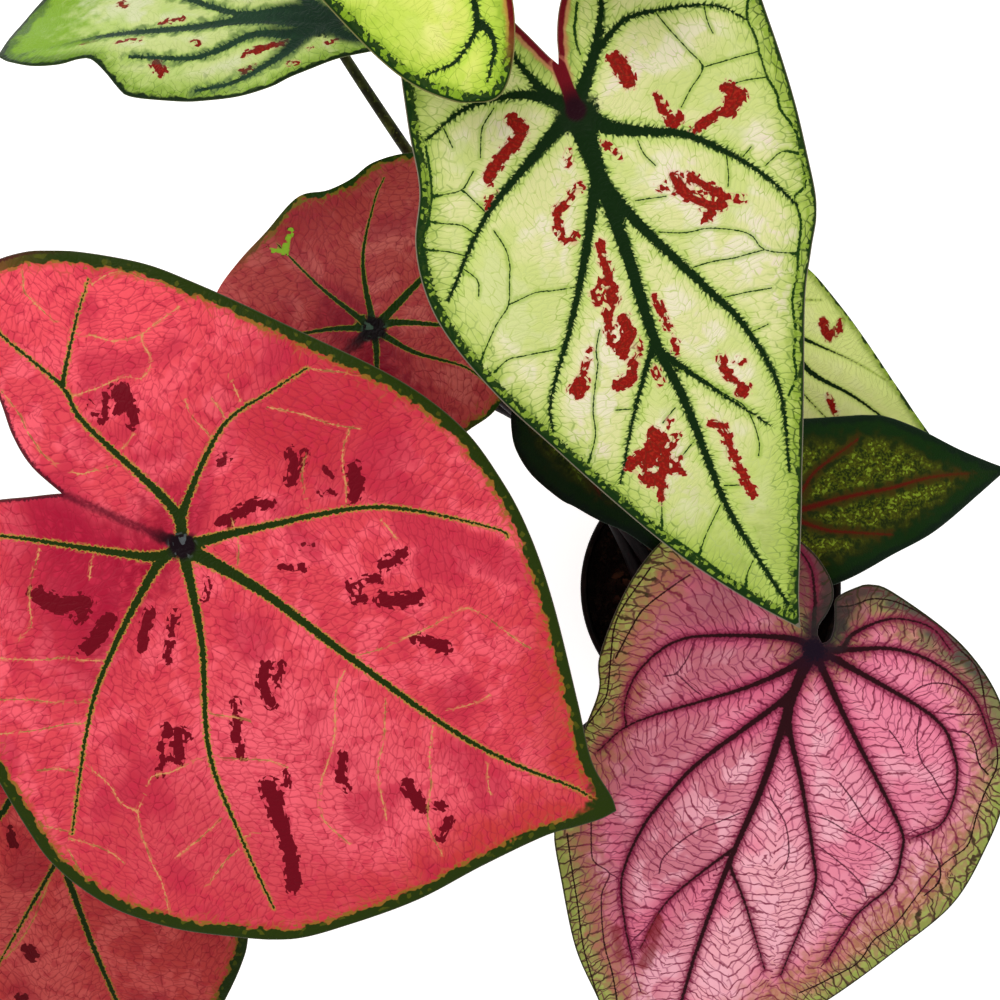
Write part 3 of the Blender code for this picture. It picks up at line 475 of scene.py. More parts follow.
# Red splashes: half width, then the points of a stroke
SPLASHES = {
    "cream_large": [
        (2.2, [(-6, -21), (-1, -19), (2, -25), (4, -30), (8, -36)]),
        (1.4, [(14, -36), (16, -41)]),
        (1.2, [(12, -8), (15, -10)]),
        (1.5, [(24, -9), (26, -15), (28, -20), (34, -22), (38, -22)]),
        (1.0, [(37, -16), (40, -19)]),
        (1.2, [(14, 4), (20, 7)]),
        (1.7, [(7, 27), (13, 27), (18, 28)]),
        (1.4, [(16, 31), (17, 31)]),
        (2.7, [(-10, 19), (-6, 20), (-1, 20)]),
        (2.7, [(15, 50), (19, 53), (22, 47)]),
        (1.7, [(21, 44), (22, 39), (23, 33)]),
        (2.0, [(34, 21), (41, 22), (47, 27), (50, 32)]),
        (2.0, [(36, 26), (42, 30), (47, 34)]),
        (1.2, [(47, 34), (51, 40)]),
        (1.7, [(52, 25), (51, 28)]),
        (1.0, [(35, 15), (39, 19)]),
        (1.7, [(44, -11), (50, -12), (57, -13), (64, -14)]),
        (1.0, [(55, -15), (58, -20), (62, -20)]),
        (1.4, [(58, -15), (66, -17)]),
        (1.7, [(68, -19), (76, -21)]),
        (2.4, [(71, -14), (77, -14), (81, -19)]),
        (1.4, [(81, -13), (84, -13)]),
        (2.1, [(87, -17), (91, -20), (91, -25)]),
        (1.4, [(69, -1), (76, -1), (81, -1)]),
        (1.2, [(86, -1), (89, -2)]),
        (0.9, [(76, -29), (81, -33), (84, -36)]),
        (2.8, [(87, -39), (85, -36)]),
        (1.2, [(90, -11), (97, -11)]),
        (2.8, [(112, -20), (116, -19)]),
        (1.4, [(116, -13), (119, -16)]),
        (3.1, [(116, -23), (121, -26)]),
        (2.5, [(118, -28), (119, -32)]),
        (2.5, [(121, -20), (126, -22)]),
        (2.8, [(126, -29), (128, -25)]),
        (1.8, [(130, -25), (135, -27)]),
        (1.4, [(127, -19), (129, -16)]),
        (1.1, [(124, -16), (126, -19)]),
        (0.7, [(110, -13), (112, -16)]),
        (1.7, [(97, 11), (103, 11), (108, 13)]),
        (2.1, [(111, 15), (112, 13)]),
        (1.0, [(101, 16), (102, 18)]),
        (1.7, [(117, -1), (120, 3), (127, 2), (137, 2), (147, 3)]),
    ],
    "red_large": [
        (1.4, [(-50, 35), (-46, 26), (-46, 22)]),
        (2.4, [(-46, 38), (-41, 34), (-36, 29)]),
        (2.1, [(-47, 35), (-42, 30)]),
        (1.0, [(-53, 27), (-48, 24)]),
        (1.4, [(-4, 32), (-2, 35)]),
        (2.1, [(16, 48), (19, 44), (21, 39)]),
        (1.4, [(20, 50), (22, 46)]),
        (1.4, [(29, 49), (34, 49)]),
        (1.4, [(33, 41), (36, 43)]),
        (2.8, [(38, 54), (42, 49), (43, 45)]),
        (2.1, [(19, 28), (14, 25), (11, 20), (7, 14)]),
        (1.4, [(11, 17), (11, 15)]),
        (1.1, [(36, 21), (39, 23)]),
        (1.2, [(33, 12), (37, 12), (42, 16)]),
        (2.1, [(69, 37), (66, 32), (64, 29)]),
        (1.8, [(66, 25), (62, 22), (58, 17)]),
        (2.1, [(62, 15), (65, 16)]),
        (2.8, [(71, 19), (77, 22), (81, 26)]),
        (2.1, [(88, 13), (94, 14), (99, 15)]),
        (3.2, [(-35, -40), (-29, -40), (-24, -38), (-19, -34)]),
        (1.4, [(-17, -37), (-18, -41)]),
        (2.6, [(-9, -35), (-9, -42), (-11, -48)]),
        (2.1, [(2, -26), (4, -33), (6, -38)]),
        (1.6, [(10, -22), (12, -29), (16, -38)]),
        (1.1, [(14, -39), (17, -38)]),
        (1.1, [(14, -6), (16, -12)]),
        (2.1, [(46, -22), (49, -28), (55, -33)]),
        (1.4, [(51, -19), (54, -25)]),
        (1.8, [(44, -39), (50, -48), (56, -55)]),
        (1.4, [(27, -58), (32, -70), (34, -75)]),
        (2.5, [(32, -58), (37, -66)]),
        (1.1, [(35, -57), (36, -57)]),
        (1.4, [(72, -52), (75, -56)]),
        (3.2, [(69, -59), (76, -65), (81, -70)]),
        (2.9, [(82, -71), (88, -76), (96, -87)]),
        (1.8, [(87, -37), (90, -44), (95, -46)]),
        (2.5, [(113, -35), (122, -40)]),
        (1.5, [(126, -36), (129, -36)]),
        (1.8, [(133, -39), (134, -47)]),
    ],
    "pink_large": [
        (2.0, [(143, -29), (154, -23)]),
        (2.4, [(131, -14), (146, -13), (153, -13)]),
    ],
    "red_low": [
        (2.8, [(69, -30), (72, -30)]),
        (2.0, [(88, -43), (88, -41)]),
        (1.9, [(18, -15), (25, -16)]),
    ],
    "cream_low": [
        (2.1, [(18, 14), (24, 11)]),
        (1.7, [(24, 19), (26, 15)]),
        (1.3, [(40, -8), (48, -11)]),
    ],
    "cream_side": [
        (1.5, [(81, -25), (79, -23)]),
        (1.5, [(62, -8), (55, -9)]),
        (1.1, [(94, -2), (88, -3)]),
        (1.1, [(78, 1), (69, 1)]),
        (2.2, [(62, 14), (59, 19)]),
        (1.1, [(49, 6), (47, 7)]),
        (1.5, [(29, 14), (24, 12), (19, 10), (14, 9)]),
        (1.4, [(29, 21), (25, 19)]),
        (1.1, [(12, 20), (9, 20)]),
        (0.9, [(5, 14), (4, 13)]),
        (0.9, [(-1, 11), (-6, 9)]),
    ],
    "red_small": [
        (1.1, [(0, 48), (-6, 44)]),
        (1.1, [(-10, 48), (-6, 43)]),
    ],
}


def linear(code):
    """The linear colour of an sRGB hex value."""
    parts = [int(code[i:i + 2], 16) / 255 for i in (0, 2, 4)]
    return [c / 12.92 if c <= 0.04045 else ((c + 0.055) / 1.055) ** 2.4 for c in parts] + [1.0]


def add(tree, kind, sockets=None, **settings):
    """A new node with these settings. A socket takes a value, another node's output or a node,
    whose first output is meant."""
    node = tree.nodes.new(kind)
    for name, value in settings.items():
        setattr(node, name, value)
    for key, value in (sockets or {}).items():
        if isinstance(value, bpy.types.Node):
            value = value.outputs[0]
        if isinstance(value, bpy.types.NodeSocket):
            tree.links.new(value, node.inputs[key])
        else:
            node.inputs[key].default_value = value
    return node


def new_material(name):
    made = bpy.data.materials.new(name)
    made.use_nodes = True
    made.node_tree.nodes.clear()
    return made, made.node_tree


def finish_material(tree, colour, roughness, specular, height, depth):
    """The surface itself. depth is in metres."""
    bump = add(tree, "ShaderNodeBump", {"Height": height, "Strength": 1.0, "Distance": depth})
    surface = add(tree, "ShaderNodeBsdfPrincipled", {
        "Base Color": colour, "Roughness": roughness, "Specular IOR Level": specular,
        "Normal": bump})
    add(tree, "ShaderNodeOutputMaterial", {"Surface": surface})


# Leaf skins. A layer is a colour, how strongly it covers, and the bands in which it lies. A band is
# a field, the values at which it starts and is full and, for a ragged border, what moves it and
# how far. Fields in mm: vein and twig are positive inside a main or a thin vein, splash inside a
# splash, rim is the distance to the blade's edge, way the distance along the edge from the notch,
# hub the distance to the stalk, seam to the line from stalk to notch, u and v the place in the
# blade's plane, and fine and ladder the distance to the nearest line of the net and of the rungs
# between main veins. grain, mottle, patch and drift are noises from fine to broad, about -0.5 to
# 0.5, and cells is a random value for each small mesh. In a look, fine is the net's mesh along and
# away from the main vein and how loose it is, ladder the step between rungs, cell the small mesh,
# and swell how wide a main vein's colour is for its half width, and what is added at the stalk.

CREAM = {
    # Caladium leaf with chlorophyll only along veins and edge: a cream and lime ground, satin
    "fine": (2.4, 4.4, 0.85), "ladder": 2.2, "cell": 1.5, "swell": (1.05, 0.6),
    "ground": "E0E09C", "under": "AEBB84",
    "layers": [
        ("EEE5C4", 0.9, [("patch", -0.1, 0.18), ("vein", -3, -7), ("rim", 8, 16)]),
        ("EEDCC8", 0.75, [("drift", 0.0, 0.25), ("mottle", -0.1, 0.3), ("vein", -3.5, -8)]),
        ("CAD87A", 0.7, [("drift", -0.05, -0.28)]),
        ("B6CA5C", 0.5, [("u", 105, 150, "mottle", 12)]),
        ("8CA43E", 0.65, [("u", 142, 176, "mottle", 14)]),
        ("BED46A", 0.75, [("vein", -3.8, -1.0, "mottle", 2.5)]),
        ("B2C858", 0.75, [("rim", 14, 4, "mottle", 6)]),
        ("88A234", 0.65, [("rim", 6.5, 2.5, "mottle", 4)]),
        ("C2CE80", 0.5, [("fine", 0.22, 0.05, "mottle", 0.15)]),
        ("B0C260", 0.5, [("fine", 0.22, 0.05), ("mottle", -0.05, 0.2)]),
        ("8CA83E", 0.6, [("fine", 0.22, 0.05), ("vein", -5.0, -1.5, "mottle", 5)]),
        ("6C8A2C", 0.75, [("fine", 0.24, 0.06), ("rim", 14, 3, "mottle", 8)]),
        ("2C5014", 0.95, [("ladder", 0.5, 0.15), ("vein", -1.5, -0.2, "mottle", 1.6)]),
        ("1E420C", 0.9, [("fine", 0.4, 0.1), ("vein", -1.1, -0.1)]),
        ("9CB848", 0.6, [("twig", -1.4, -0.1, "mottle", 0.8)]),
        ("1A3A0A", 1.0, [("twig", 0.05, 0.22, "grain", 0.3)]),
        ("1A3A0A", 1.0, [("twig", -0.3, 0.0, "grain", 0.6), ("rim", 8, 6)]),
        ("DCA48C", 0.5, [("splash", -0.6, -0.1, "cells", 1.8)]),
        ("8E120A", 1.0, [("splash", 0.0, 0.2, "cells", 1.8)]),
        ("AC2818", 0.7, [("splash", 0.5, 0.9, "cells", 1.8), ("grain", 0.0, 0.2)]),
        ("5A2410", 0.5, [("splash", 0.0, 0.2), ("fine", 0.25, 0.08)]),
        ("0C2606", 1.0, [("vein", -0.3, 0.15, "grain", 0.9)]),
        ("123008", 0.97, [("rim", 3.7, 3.1, "grain", 1.8), ("way", 55, 80),
                          ("v", 14, -6, "mottle", 8)]),
        ("123008", 0.97, [("rim", 1.8, 1.2, "mottle", 1.8), ("way", 55, 80)]),
        ("8CA838", 0.85, [("rim", 4.0, 3.2), ("rim", 0.7, 1.2), ("cells", 0.12, 0.2)]),
        ("123008", 0.6, [("rim", 5.0, 3.0), ("fine", 0.28, 0.08), ("way", 55, 80)]),
        ("C8705C", 0.75, [("rim", 4.0, 2.4, "mottle", 1.0), ("way", 78, 56)]),
        ("6E0A18", 1.0, [("rim", 2.4, 1.7, "mottle", 0.5), ("way", 80, 60)]),
        # Painted sheen: a thin pale grey line right along the edge, where the edge catches the
        # light
        ("9C8C7C", 0.55, [("rim", 0.32, 0.12)]),
        ("10260A", 1.0, [("hub", 9, 6.5, "grain", 3), ("u", -5, 0)]),
        ("C8705C", 0.6, [("seam", 3.8, 2.6, "grain", 0.6), ("hub", 8, 13)]),
        ("6E0A18", 1.0, [("seam", 2.6, 2.0)]),
        ("2C0410", 1.0, [("seam", 3.4, 2.0), ("hub", 11, 3)]),
        ("240410", 1.0, [("hub", 4.6, 2.6)]),
    ],
}
RED = {
    # Red pigment over the whole face, green kept along veins and edge, satin
    "fine": (3.3, 3.7, 0.95), "ladder": 3.2, "cell": 1.6, "swell": (0.82, 0.35),
    "ground": "E64E5C", "under": "A4525C",
    "layers": [
        ("FC6878", 0.9, [("patch", -0.06, 0.2)]),
        ("FA5A68", 0.9, [("v", 20, 52), ("u", -15, -55)]),
        ("FA6C7C", 0.75, [("v", -5, -35), ("u", 25, 50), ("rim", 12, 30)]),
        ("C22E3E", 0.85, [("v", 30, 50), ("u", 62, 30), ("u", -25, 5)]),
        ("C43A34", 0.75, [("u", 100, 140), ("rim", 26, 8, "mottle", 8)]),
        ("D0424E", 0.75, [("v", -58, -86, "mottle", 10), ("u", 0, 30)]),
        ("BE2444", 0.6, [("drift", 0.08, 0.3)]),
        # Painted shade: deeper crimson behind the hub, on the lobes that overlap at the closed
        # notch, and darker by the hub
        ("A80C36", 0.9, [("u", 14, -14, "mottle", 16), ("v", 4, -12), ("hub", 78, 40)]),
        ("9E0830", 0.85, [("hub", 30, 8, "mottle", 16), ("u", 8, -4)]),
        ("CC2C4C", 0.5, [("mottle", 0.04, 0.3)]),
        ("AE2440", 0.46, [("fine", 0.32, 0.06, "mottle", 0.2)]),
        ("9E1A34", 0.34, [("ladder", 0.36, 0.08, "mottle", 0.3)]),
        ("7E0A20", 0.35, [("fine", 0.34, 0.08), ("mottle", 0.06, 0.24)]),
        ("C87840", 0.5, [("rim", 9, 4, "mottle", 6), ("fine", 0.45, 0.1), ("way", 70, 120)]),
        ("70041A", 1.0, [("splash", 0.0, 0.15, "cells", 2.2)]),
        ("E0A060", 0.4, [("twig", -0.8, -0.1), ("fine", 0.4, 0.1)]),
        ("DCA468", 0.85, [("twig", 0.02, 0.26, "grain", 0.5), ("patch", -0.3, -0.06)]),
        ("6A5018", 0.6, [("twig", 0.12, 0.3, "mottle", 0.6), ("drift", 0.1, -0.1)]),
        ("B4983C", 0.9, [("vein", -0.55, -0.2, "grain", 1.1)]),
        ("B4983C", 0.5, [("vein", -1.5, -0.4), ("fine", 0.4, 0.1)]),
        ("1E3404", 1.0, [("vein", -0.2, 0.1, "grain", 0.7)]),
        ("A84A1C", 0.5, [("rim", 6.5, 4.0, "mottle", 4), ("way", 70, 120)]),
        ("8A7420", 0.8, [("rim", 4.7, 4.1, "cells", 2.4), ("way", 70, 110)]),
        ("263A06", 1.0, [("rim", 4.0, 3.5, "mottle", 2.4), ("way", 60, 120)]),
        ("5C6414", 0.6, [("rim", 4.0, 3.2), ("rim", 0.8, 1.6), ("cells", 0.34, 0.44),
                         ("way", 60, 120)]),
        ("263A06", 1.0, [("u", 173, 178, "mottle", 6)]),
        ("44081A", 0.9, [("rim", 1.5, 0.8, "grain", 1), ("way", 130, 90)]),
        # Painted sheen: a thin pale grey line right along the edge, where the edge catches the
        # light
        ("54604C", 0.5, [("rim", 0.32, 0.12)]),
        # Painted shade: dark along the closed notch where the lobes overlap, darkest in the cup
        # where the stalk meets the blade
        ("5A0620", 0.8, [("seam", 2.4, 0.4, "grain", 0.8)]),
        ("14050E", 0.95, [("seam", 3.4, 1.6, "mottle", 1.5), ("hub", 15, 5)]),
        ("14050E", 1.0, [("hub", 6.0, 3.6, "mottle", 2)]),
        # Painted sheen: grey-blue glints over the dark hub
        ("6E7E80", 0.5, [("hub", 6.0, 3.0), ("mottle", 0.16, 0.26)]),
    ],
}
PINK = {
    # Pink face between maroon veins, olive towards the edge, satin
    "fine": (3.8, 5.0, 0.95), "ladder": 4.3, "cell": 1.6, "swell": (0.72, 0.3),
    "ground": "D27A8A", "under": "8E6470",
    "layers": [
        ("F49AAE", 0.95, [("v", -12, 10), ("u", -30, 0)]),
        ("F6AEB8", 0.85, [("v", -8, 14), ("u", 60, 95), ("rim", 14, 30)]),
        ("F8B4C2", 0.8, [("patch", -0.02, 0.2), ("vein", -1.5, -6)]),
        ("C06676", 0.6, [("v", -12, -36), ("u", 120, 70)]),
        # Painted shade: the upper part of this side is darker, where the leaves above shade it
        ("AC5A66", 0.7, [("v", -22, -42), ("u", 40, -5)]),
        ("E87090", 0.6, [("drift", 0.0, 0.3)]),
        ("E05A84", 0.6, [("hub", 80, 25), ("u", -10, 10), ("vein", -7, -1)]),
        ("F4809E", 0.65, [("v", 10, 30), ("u", 45, 20), ("rim", 8, 18)]),
        ("B8726A", 0.8, [("rim", 24, 13, "mottle", 8), ("v", 20, -20, "mottle", 10)]),
        ("B8785C", 0.9, [("rim", 30, 13, "mottle", 14), ("v", 6, 40), ("u", 30, 70)]),
        ("A87050", 0.85, [("rim", 20, 9, "mottle", 10)]),
        ("DCA488", 0.55, [("rim", 20, 9), ("cells", 0.05, 0.3), ("v", 0, 40)]),
        ("9A9054", 0.85, [("rim", 12, 5, "mottle", 9)]),
        ("A8B45C", 0.8, [("rim", 8, 4, "mottle", 5), ("cells", 0.3, -0.2)]),
        ("8A9C44", 0.6, [("rim", 4.5, 2.5, "mottle", 3)]),
        # Painted shade: the top of the blade, by the lobes, is darker and greyer under the leaves
        # above
        ("6E5A50", 0.6, [("rim", 14, 6, "mottle", 6), ("u", 30, 10), ("v", 10, 40)]),
        ("464440", 0.85, [("rim", 8, 3, "mottle", 3), ("u", -4, -14), ("v", -45, -15)]),
        ("602E3A", 0.7, [("u", -2, -20), ("v", -40, -15), ("v", 20, 6)]),
        ("94365C", 0.6, [("fine", 0.4, 0.06, "mottle", 0.15)]),
        ("7C1A3C", 0.85, [("ladder", 0.5, 0.1, "mottle", 0.3)]),
        ("5A0E2C", 0.75, [("ladder", 0.4, 0.12), ("vein", -6, -1, "mottle", 3)]),
        ("5A0E2C", 0.6, [("fine", 0.4, 0.1), ("vein", -2.5, -0.3, "mottle", 2)]),
        ("3C3214", 0.7, [("rim", 14, 6), ("fine", 0.3, 0.08)]),
        ("34381A", 0.85, [("rim", 13, 7, "mottle", 3), ("ladder", 0.5, 0.1)]),
        ("52122C", 0.9, [("twig", -0.05, 0.15, "grain", 0.3)]),
        ("26120C", 1.0, [("twig", -0.05, 0.15, "grain", 0.3), ("rim", 20, 10)]),
        ("A02C58", 0.3, [("vein", -4.5, -0.6, "mottle", 2.5)]),
        ("781638", 0.8, [("vein", -2.2, -0.2, "grain", 1.0)]),
        ("2C0810", 1.0, [("vein", -0.3, 0.2, "grain", 0.5)]),
        ("7A1C1C", 0.75, [("splash", -1.8, 1.6, "mottle", 3)]),
        ("20280C", 0.9, [("rim", 0.8, 0.4, "grain", 0.3)]),
        # Painted shade: dark olive grey over the lobes' edges near the hub, under the leaves above
        ("32302C", 0.8, [("hub", 36, 14, "mottle", 10), ("rim", 8, 2, "mottle", 4), ("u", 4, -6)]),
        ("2A0A20", 0.6, [("hub", 13, 5, "mottle", 6)]),
        ("1A0A1C", 1.0, [("hub", 6, 3, "grain", 3)]),
    ],
}
DARK = {
    # Dark green face speckled with yellow green, red veins, satin
    "fine": (1.2, 1.2, 0.9), "ladder": 2.6, "cell": 0.9, "swell": (0.4, 0.2),
    "ground": "282E04", "under": "3E4A2C",
    "layers": [
        ("4E4808", 0.85, [("mottle", -0.25, 0.1), ("rim", 6, 13)]),
        ("707212", 0.55, [("grain", -0.1, 0.2), ("vein", -1.5, -4), ("rim", 8, 15, "mottle", 5)]),
        ("9AA436", 0.85, [("cells", 0.22, 0.34), ("vein", -1.6, -4, "mottle", 2),
                          ("rim", 9, 16, "mottle", 5), ("mottle", -0.2, 0.15)]),
        ("4C3006", 0.7, [("vein", -2.6, -0.4, "mottle", 3)]),
        ("701004", 0.95, [("vein", -0.9, 0.4, "grain", 0.5), ("u", 115, 50)]),
        ("102E08", 0.95, [("rim", 10, 5, "mottle", 5)]),
        ("0A1C14", 0.8, [("rim", 4, 1.5, "mottle", 2)]),
        # Painted sheen: a thin blue grey line right along the edge, where the edge catches the
        # light
        ("2A3A36", 0.6, [("rim", 0.4, 0.15)]),
        ("1A0606", 1.0, [("hub", 6, 4, "grain", 2)]),
    ],
}
LOOKS = {"cream": CREAM, "red": RED, "pink": PINK, "dark": DARK}
# What is a single leaf's own: a tint over all, fields stretched and moved (a stretched net or vein
# has thinner lines and a shorter fringe) and layers over the rest. A tint is the leaf's own colour,
# and on the leaves that lie under others it is also painted shade that darkens the whole blade
OWN = {
    "cream_large": {},
    "cream_high": {
        "tint_and_shade": "F2FFAA",
        "fields": {"fine": (2.6, 0), "way": (1, 12), "v": (1, -200)},
    },
    "cream_side": {
        "tint_and_shade": "DCE8D8",
        "fields": {"fine": (2.6, 0), "way": (1, 200), "vein": (1, 0.3)},
        "over": [
            ("2C4A3C", 0.6, [("vein", -3.5, 0.2, "mottle", 5)]),
            ("1A3228", 0.9, [("hub", 30, 10, "mottle", 18), ("vein", -4, 0)]),
            ("8CB020", 0.97, [("u", 80, 108, "mottle", 16)]),
            ("3E5E10", 0.8, [("u", 78, 112, "mottle", 14), ("rim", 9, 2.5, "mottle", 6)]),
            ("10260A", 0.9, [("rim", 2.2, 1.2, "mottle", 1.6)]),
        ],
    },
    "cream_low": {
        "tint_and_shade": "FFFFF0",
        "fields": {"fine": (8, 0), "ladder": (6, 0), "way": (1, 200), "vein": (1.8, -0.9),
                   "rim": (1, 0.9)},
        "over": [("F0FCA4", 0.7, [("rim", 1.5, 5), ("vein", -0.2, -2), ("splash", 0.2, -1.2)])],
    },
    "red_large": {"tint_and_shade": "FCECEC"},
    "red_small": {
        # Painted shade: this tint darkens the small red leaf, which lies under the large red and
        # cream ones
        "tint_and_shade": "B6D6B4",
        "fields": {"rim": (1, 2.4), "vein": (2.2, 0)},
        "over": [("AEC838", 1.0, [("splash", -0.2, 0.3, "cells", 1.2)])],
    },
    # Painted shade: this tint darkens the low red leaf, which lies under the large red one
    "red_low": {"tint_and_shade": "C0C0A0"},
    "pink_large": {},
    "dark_side": {"tint_and_shade": "DCF2C0"},
    # Painted shade: this tint darkens this leaf, which lies under the large cream one
    "dark_middle": {"tint_and_shade": "90A890"},
}


def leaf_skin(name, look, own):
    made, tree = new_material(name)
    plane, flow, marks, border = (
        add(tree, "ShaderNodeAttribute", attribute_name=carried).outputs["Vector"]
        for carried in ("plane", "flow", "marks", "border"))
    field = {}
    for carried, labels in ((marks, ("vein", "twig", "splash")), (border, ("rim", "under", "way")),
                            (plane, ("u", "v", "seam"))):
        field.update(zip(labels, add(tree, "ShaderNodeSeparateXYZ", {0: carried}).outputs))
    plane = add(tree, "ShaderNodeVectorMath", {0: plane, 1: (1.0, 1.0, 0.0)},
                operation="MULTIPLY").outputs[0]
    field["hub"] = add(tree, "ShaderNodeVectorMath", {0: plane},
                       operation="LENGTH").outputs["Value"]
    # Clouds with lumps of this size in mm
    for label, size in (("grain", 1.1), ("mottle", 4.5), ("patch", 14.0), ("drift", 33.0)):
        cloud = add(tree, "ShaderNodeTexNoise", {"Vector": plane, "Scale": 1 / size, "Detail": 2.0},
                    noise_dimensions="2D")
        field[label] = add(tree, "ShaderNodeMath", {0: cloud, 1: 2.0, 2: -1.0},
                           operation="MULTIPLY_ADD")
    # The nets: each is swayed by a noise, up to sway mm, and its meshes are scaled to a size of 1
    noisy = add(tree, "ShaderNodeTexNoise", {"Vector": plane, "Scale": 0.13, "Detail": 3.0},
                noise_dimensions="2D").outputs["Color"]
    along, across, loose = look["fine"]
    net = {}
    for label, source, sway, wide, deep in (
            ("fine", flow, 2.4, along, across), ("cells", plane, 2.4, look["cell"], look["cell"]),
            ("ladder", flow, 5.0, look["ladder"], 1.0)):
        swayed = add(tree, "ShaderNodeVectorMath", {0: noisy, 1: (sway, sway, 0.0), 2: source},
                     operation="MULTIPLY_ADD")
        net[label] = add(tree, "ShaderNodeVectorMath", {0: swayed, 1: (1 / wide, 1 / deep, 0)},
                         operation="MULTIPLY")
    meshes = add(tree, "ShaderNodeTexVoronoi", {"Vector": net["cells"], "Scale": 1.0},
                 feature="F1", voronoi_dimensions="2D")
    each = add(tree, "ShaderNodeSeparateColor", {0: meshes.outputs["Color"]})
    field["cells"] = add(tree, "ShaderNodeMath", {0: each, 1: 0.5}, operation="SUBTRACT")
    fine = add(tree, "ShaderNodeTexVoronoi",
               {"Vector": net["fine"], "Scale": 1.0, "Randomness": loose},
               feature="DISTANCE_TO_EDGE", voronoi_dimensions="2D")
    rungs = add(tree, "ShaderNodeSeparateXYZ", {0: net["ladder"]})
    rungs = add(tree, "ShaderNodeMath", {0: rungs, 1: 0.5}, operation="PINGPONG")
    for label, line, size in (("fine", fine, along), ("ladder", rungs, look["ladder"])):
        field[label] = add(tree, "ShaderNodeMath", {0: line, 1: size}, operation="MULTIPLY")
    for label, (stretch, shift) in own.get("fields", {}).items():
        field[label] = add(tree, "ShaderNodeMath", {0: field[label], 1: stretch, 2: shift},
                           operation="MULTIPLY_ADD")
    # The layers, one over the other
    tone = linear(look["ground"])
    for colour, strength, bands in look["layers"] + own.get("over", []):
        cover = strength
        for start, low, high, *rough in bands:
            value = field[start]
            if rough:
                value = add(tree, "ShaderNodeMath", {0: field[rough[0]], 1: rough[1], 2: value},
                            operation="MULTIPLY_ADD")
            cover = add(tree, "ShaderNodeMapRange", {
                "Value": value, "From Min": low, "From Max": high, "To Min": 0.0, "To Max": cover},
                interpolation_type="SMOOTHSTEP")
        tone = add(tree, "ShaderNodeMix", {0: cover, 6: tone, 7: linear(colour)},
                   data_type="RGBA").outputs[2]
    tone = add(tree, "ShaderNodeMix", {0: 1.0, 6: tone, 7: linear(own.get("tint_and_shade", "FFFFFF"))},
               data_type="RGBA", blend_type="MULTIPLY").outputs[2]
    pale = add(tree, "ShaderNodeMath", {0: field["under"], 1: 0.6}, operation="MULTIPLY")
    tone = add(tree, "ShaderNodeMix", {0: pale, 6: tone, 7: linear(look["under"])},
               data_type="RGBA").outputs[2]
    # The net lies a tenth of a millimetre deep, and the gloss is uneven
    lines = add(tree, "ShaderNodeMath", {0: field["fine"], 1: field["ladder"]}, operation="MINIMUM")
    relief = add(tree, "ShaderNodeMapRange", {"Value": lines, "From Min": 0.0, "From Max": 0.7},
                 interpolation_type="SMOOTHSTEP")
    gloss = add(tree, "ShaderNodeMapRange", {
        "Value": field["mottle"], "From Min": -0.5, "From Max": 0.5, "To Min": 0.4, "To Max": 0.52})
    finish_material(tree, tone, gloss, 0.07, relief, 0.0001)
    return made


# Shapes


def flowing(points, step):
    """Points about a step apart on a Catmull-Rom curve through the given ones."""
    known = np.array(points, float)
    known = np.vstack([2 * known[0] - known[1], known, 2 * known[-1] - known[-2]])
    t = np.linspace(0, 1, 13)[1:, None]
    fine = [known[1][None]]
    for a, b, c, d in zip(known, known[1:], known[2:], known[3:]):
        bent = 2 * a - 5 * b + 4 * c - d
        turned_back = 3 * b - a - 3 * c + d
        fine.append(0.5 * (2 * b + (c - a) * t + bent * t ** 2 + turned_back * t ** 3))
    fine = np.vstack(fine)
    walked = np.append(0, np.cumsum(np.linalg.norm(np.diff(fine, axis=0), axis=1)))
    even = np.linspace(0, walked[-1], max(2, round(walked[-1] / step)) + 1)
    return np.column_stack([np.interp(even, walked, axis) for axis in fine.T])


def measure(points, line):
    """How far each point is from a line, the way along it to the nearest spot, the line's length,
    and the same two distances where the line goes straight on past its end, the first one signed
    by side."""
    start = line[:-1]
    step = np.diff(line, axis=0)
    length = np.linalg.norm(step, axis=1)
    walked = np.append(0, np.cumsum(length))
    offset = points[:, None] - start
    share = np.clip((offset * step).sum(2) / length ** 2, 0, 1)
    gap = offset - step * share[..., None]
    far = np.hypot(gap[..., 0], gap[..., 1])
    pick = far.argmin(1)
    row = np.arange(len(points))
    cross = (step[pick, 0] * gap[row, pick, 1] - step[pick, 1] * gap[row, pick, 0]) / length[pick]
    along = walked[pick] + share[row, pick] * length[pick]
    away = far[row, pick]
    past = (pick == len(step) - 1) & (share[row, pick] >= 1)
    further = (gap[row, -1] * step[-1]).sum(1) / length[-1]
    aside = np.where(past, cross, np.where(cross < 0, -away, away))
    return away, along, walked[-1], aside, np.where(past, along + further, along)


def nearest(points, lines):
    """How far each point is from the nearest of the lines, FAR where there are none."""
    away = [measure(points, line)[0] for line in lines]
    return np.min([np.full(len(points), FAR), *away], axis=0)


def inside(points, edge):
    """True for each point in the outline."""
    after = np.roll(edge, -1, axis=0)
    x, y = points[:, 0, None], points[:, 1, None]
    spans = (edge[:, 1] > y) != (after[:, 1] > y)
    rise = np.where(after[:, 1] == edge[:, 1], 1e-9, after[:, 1] - edge[:, 1])
    meets = edge[:, 0] + (after[:, 0] - edge[:, 0]) * (y - edge[:, 1]) / rise
    return (spans & (x < meets)).sum(1) % 2 == 1


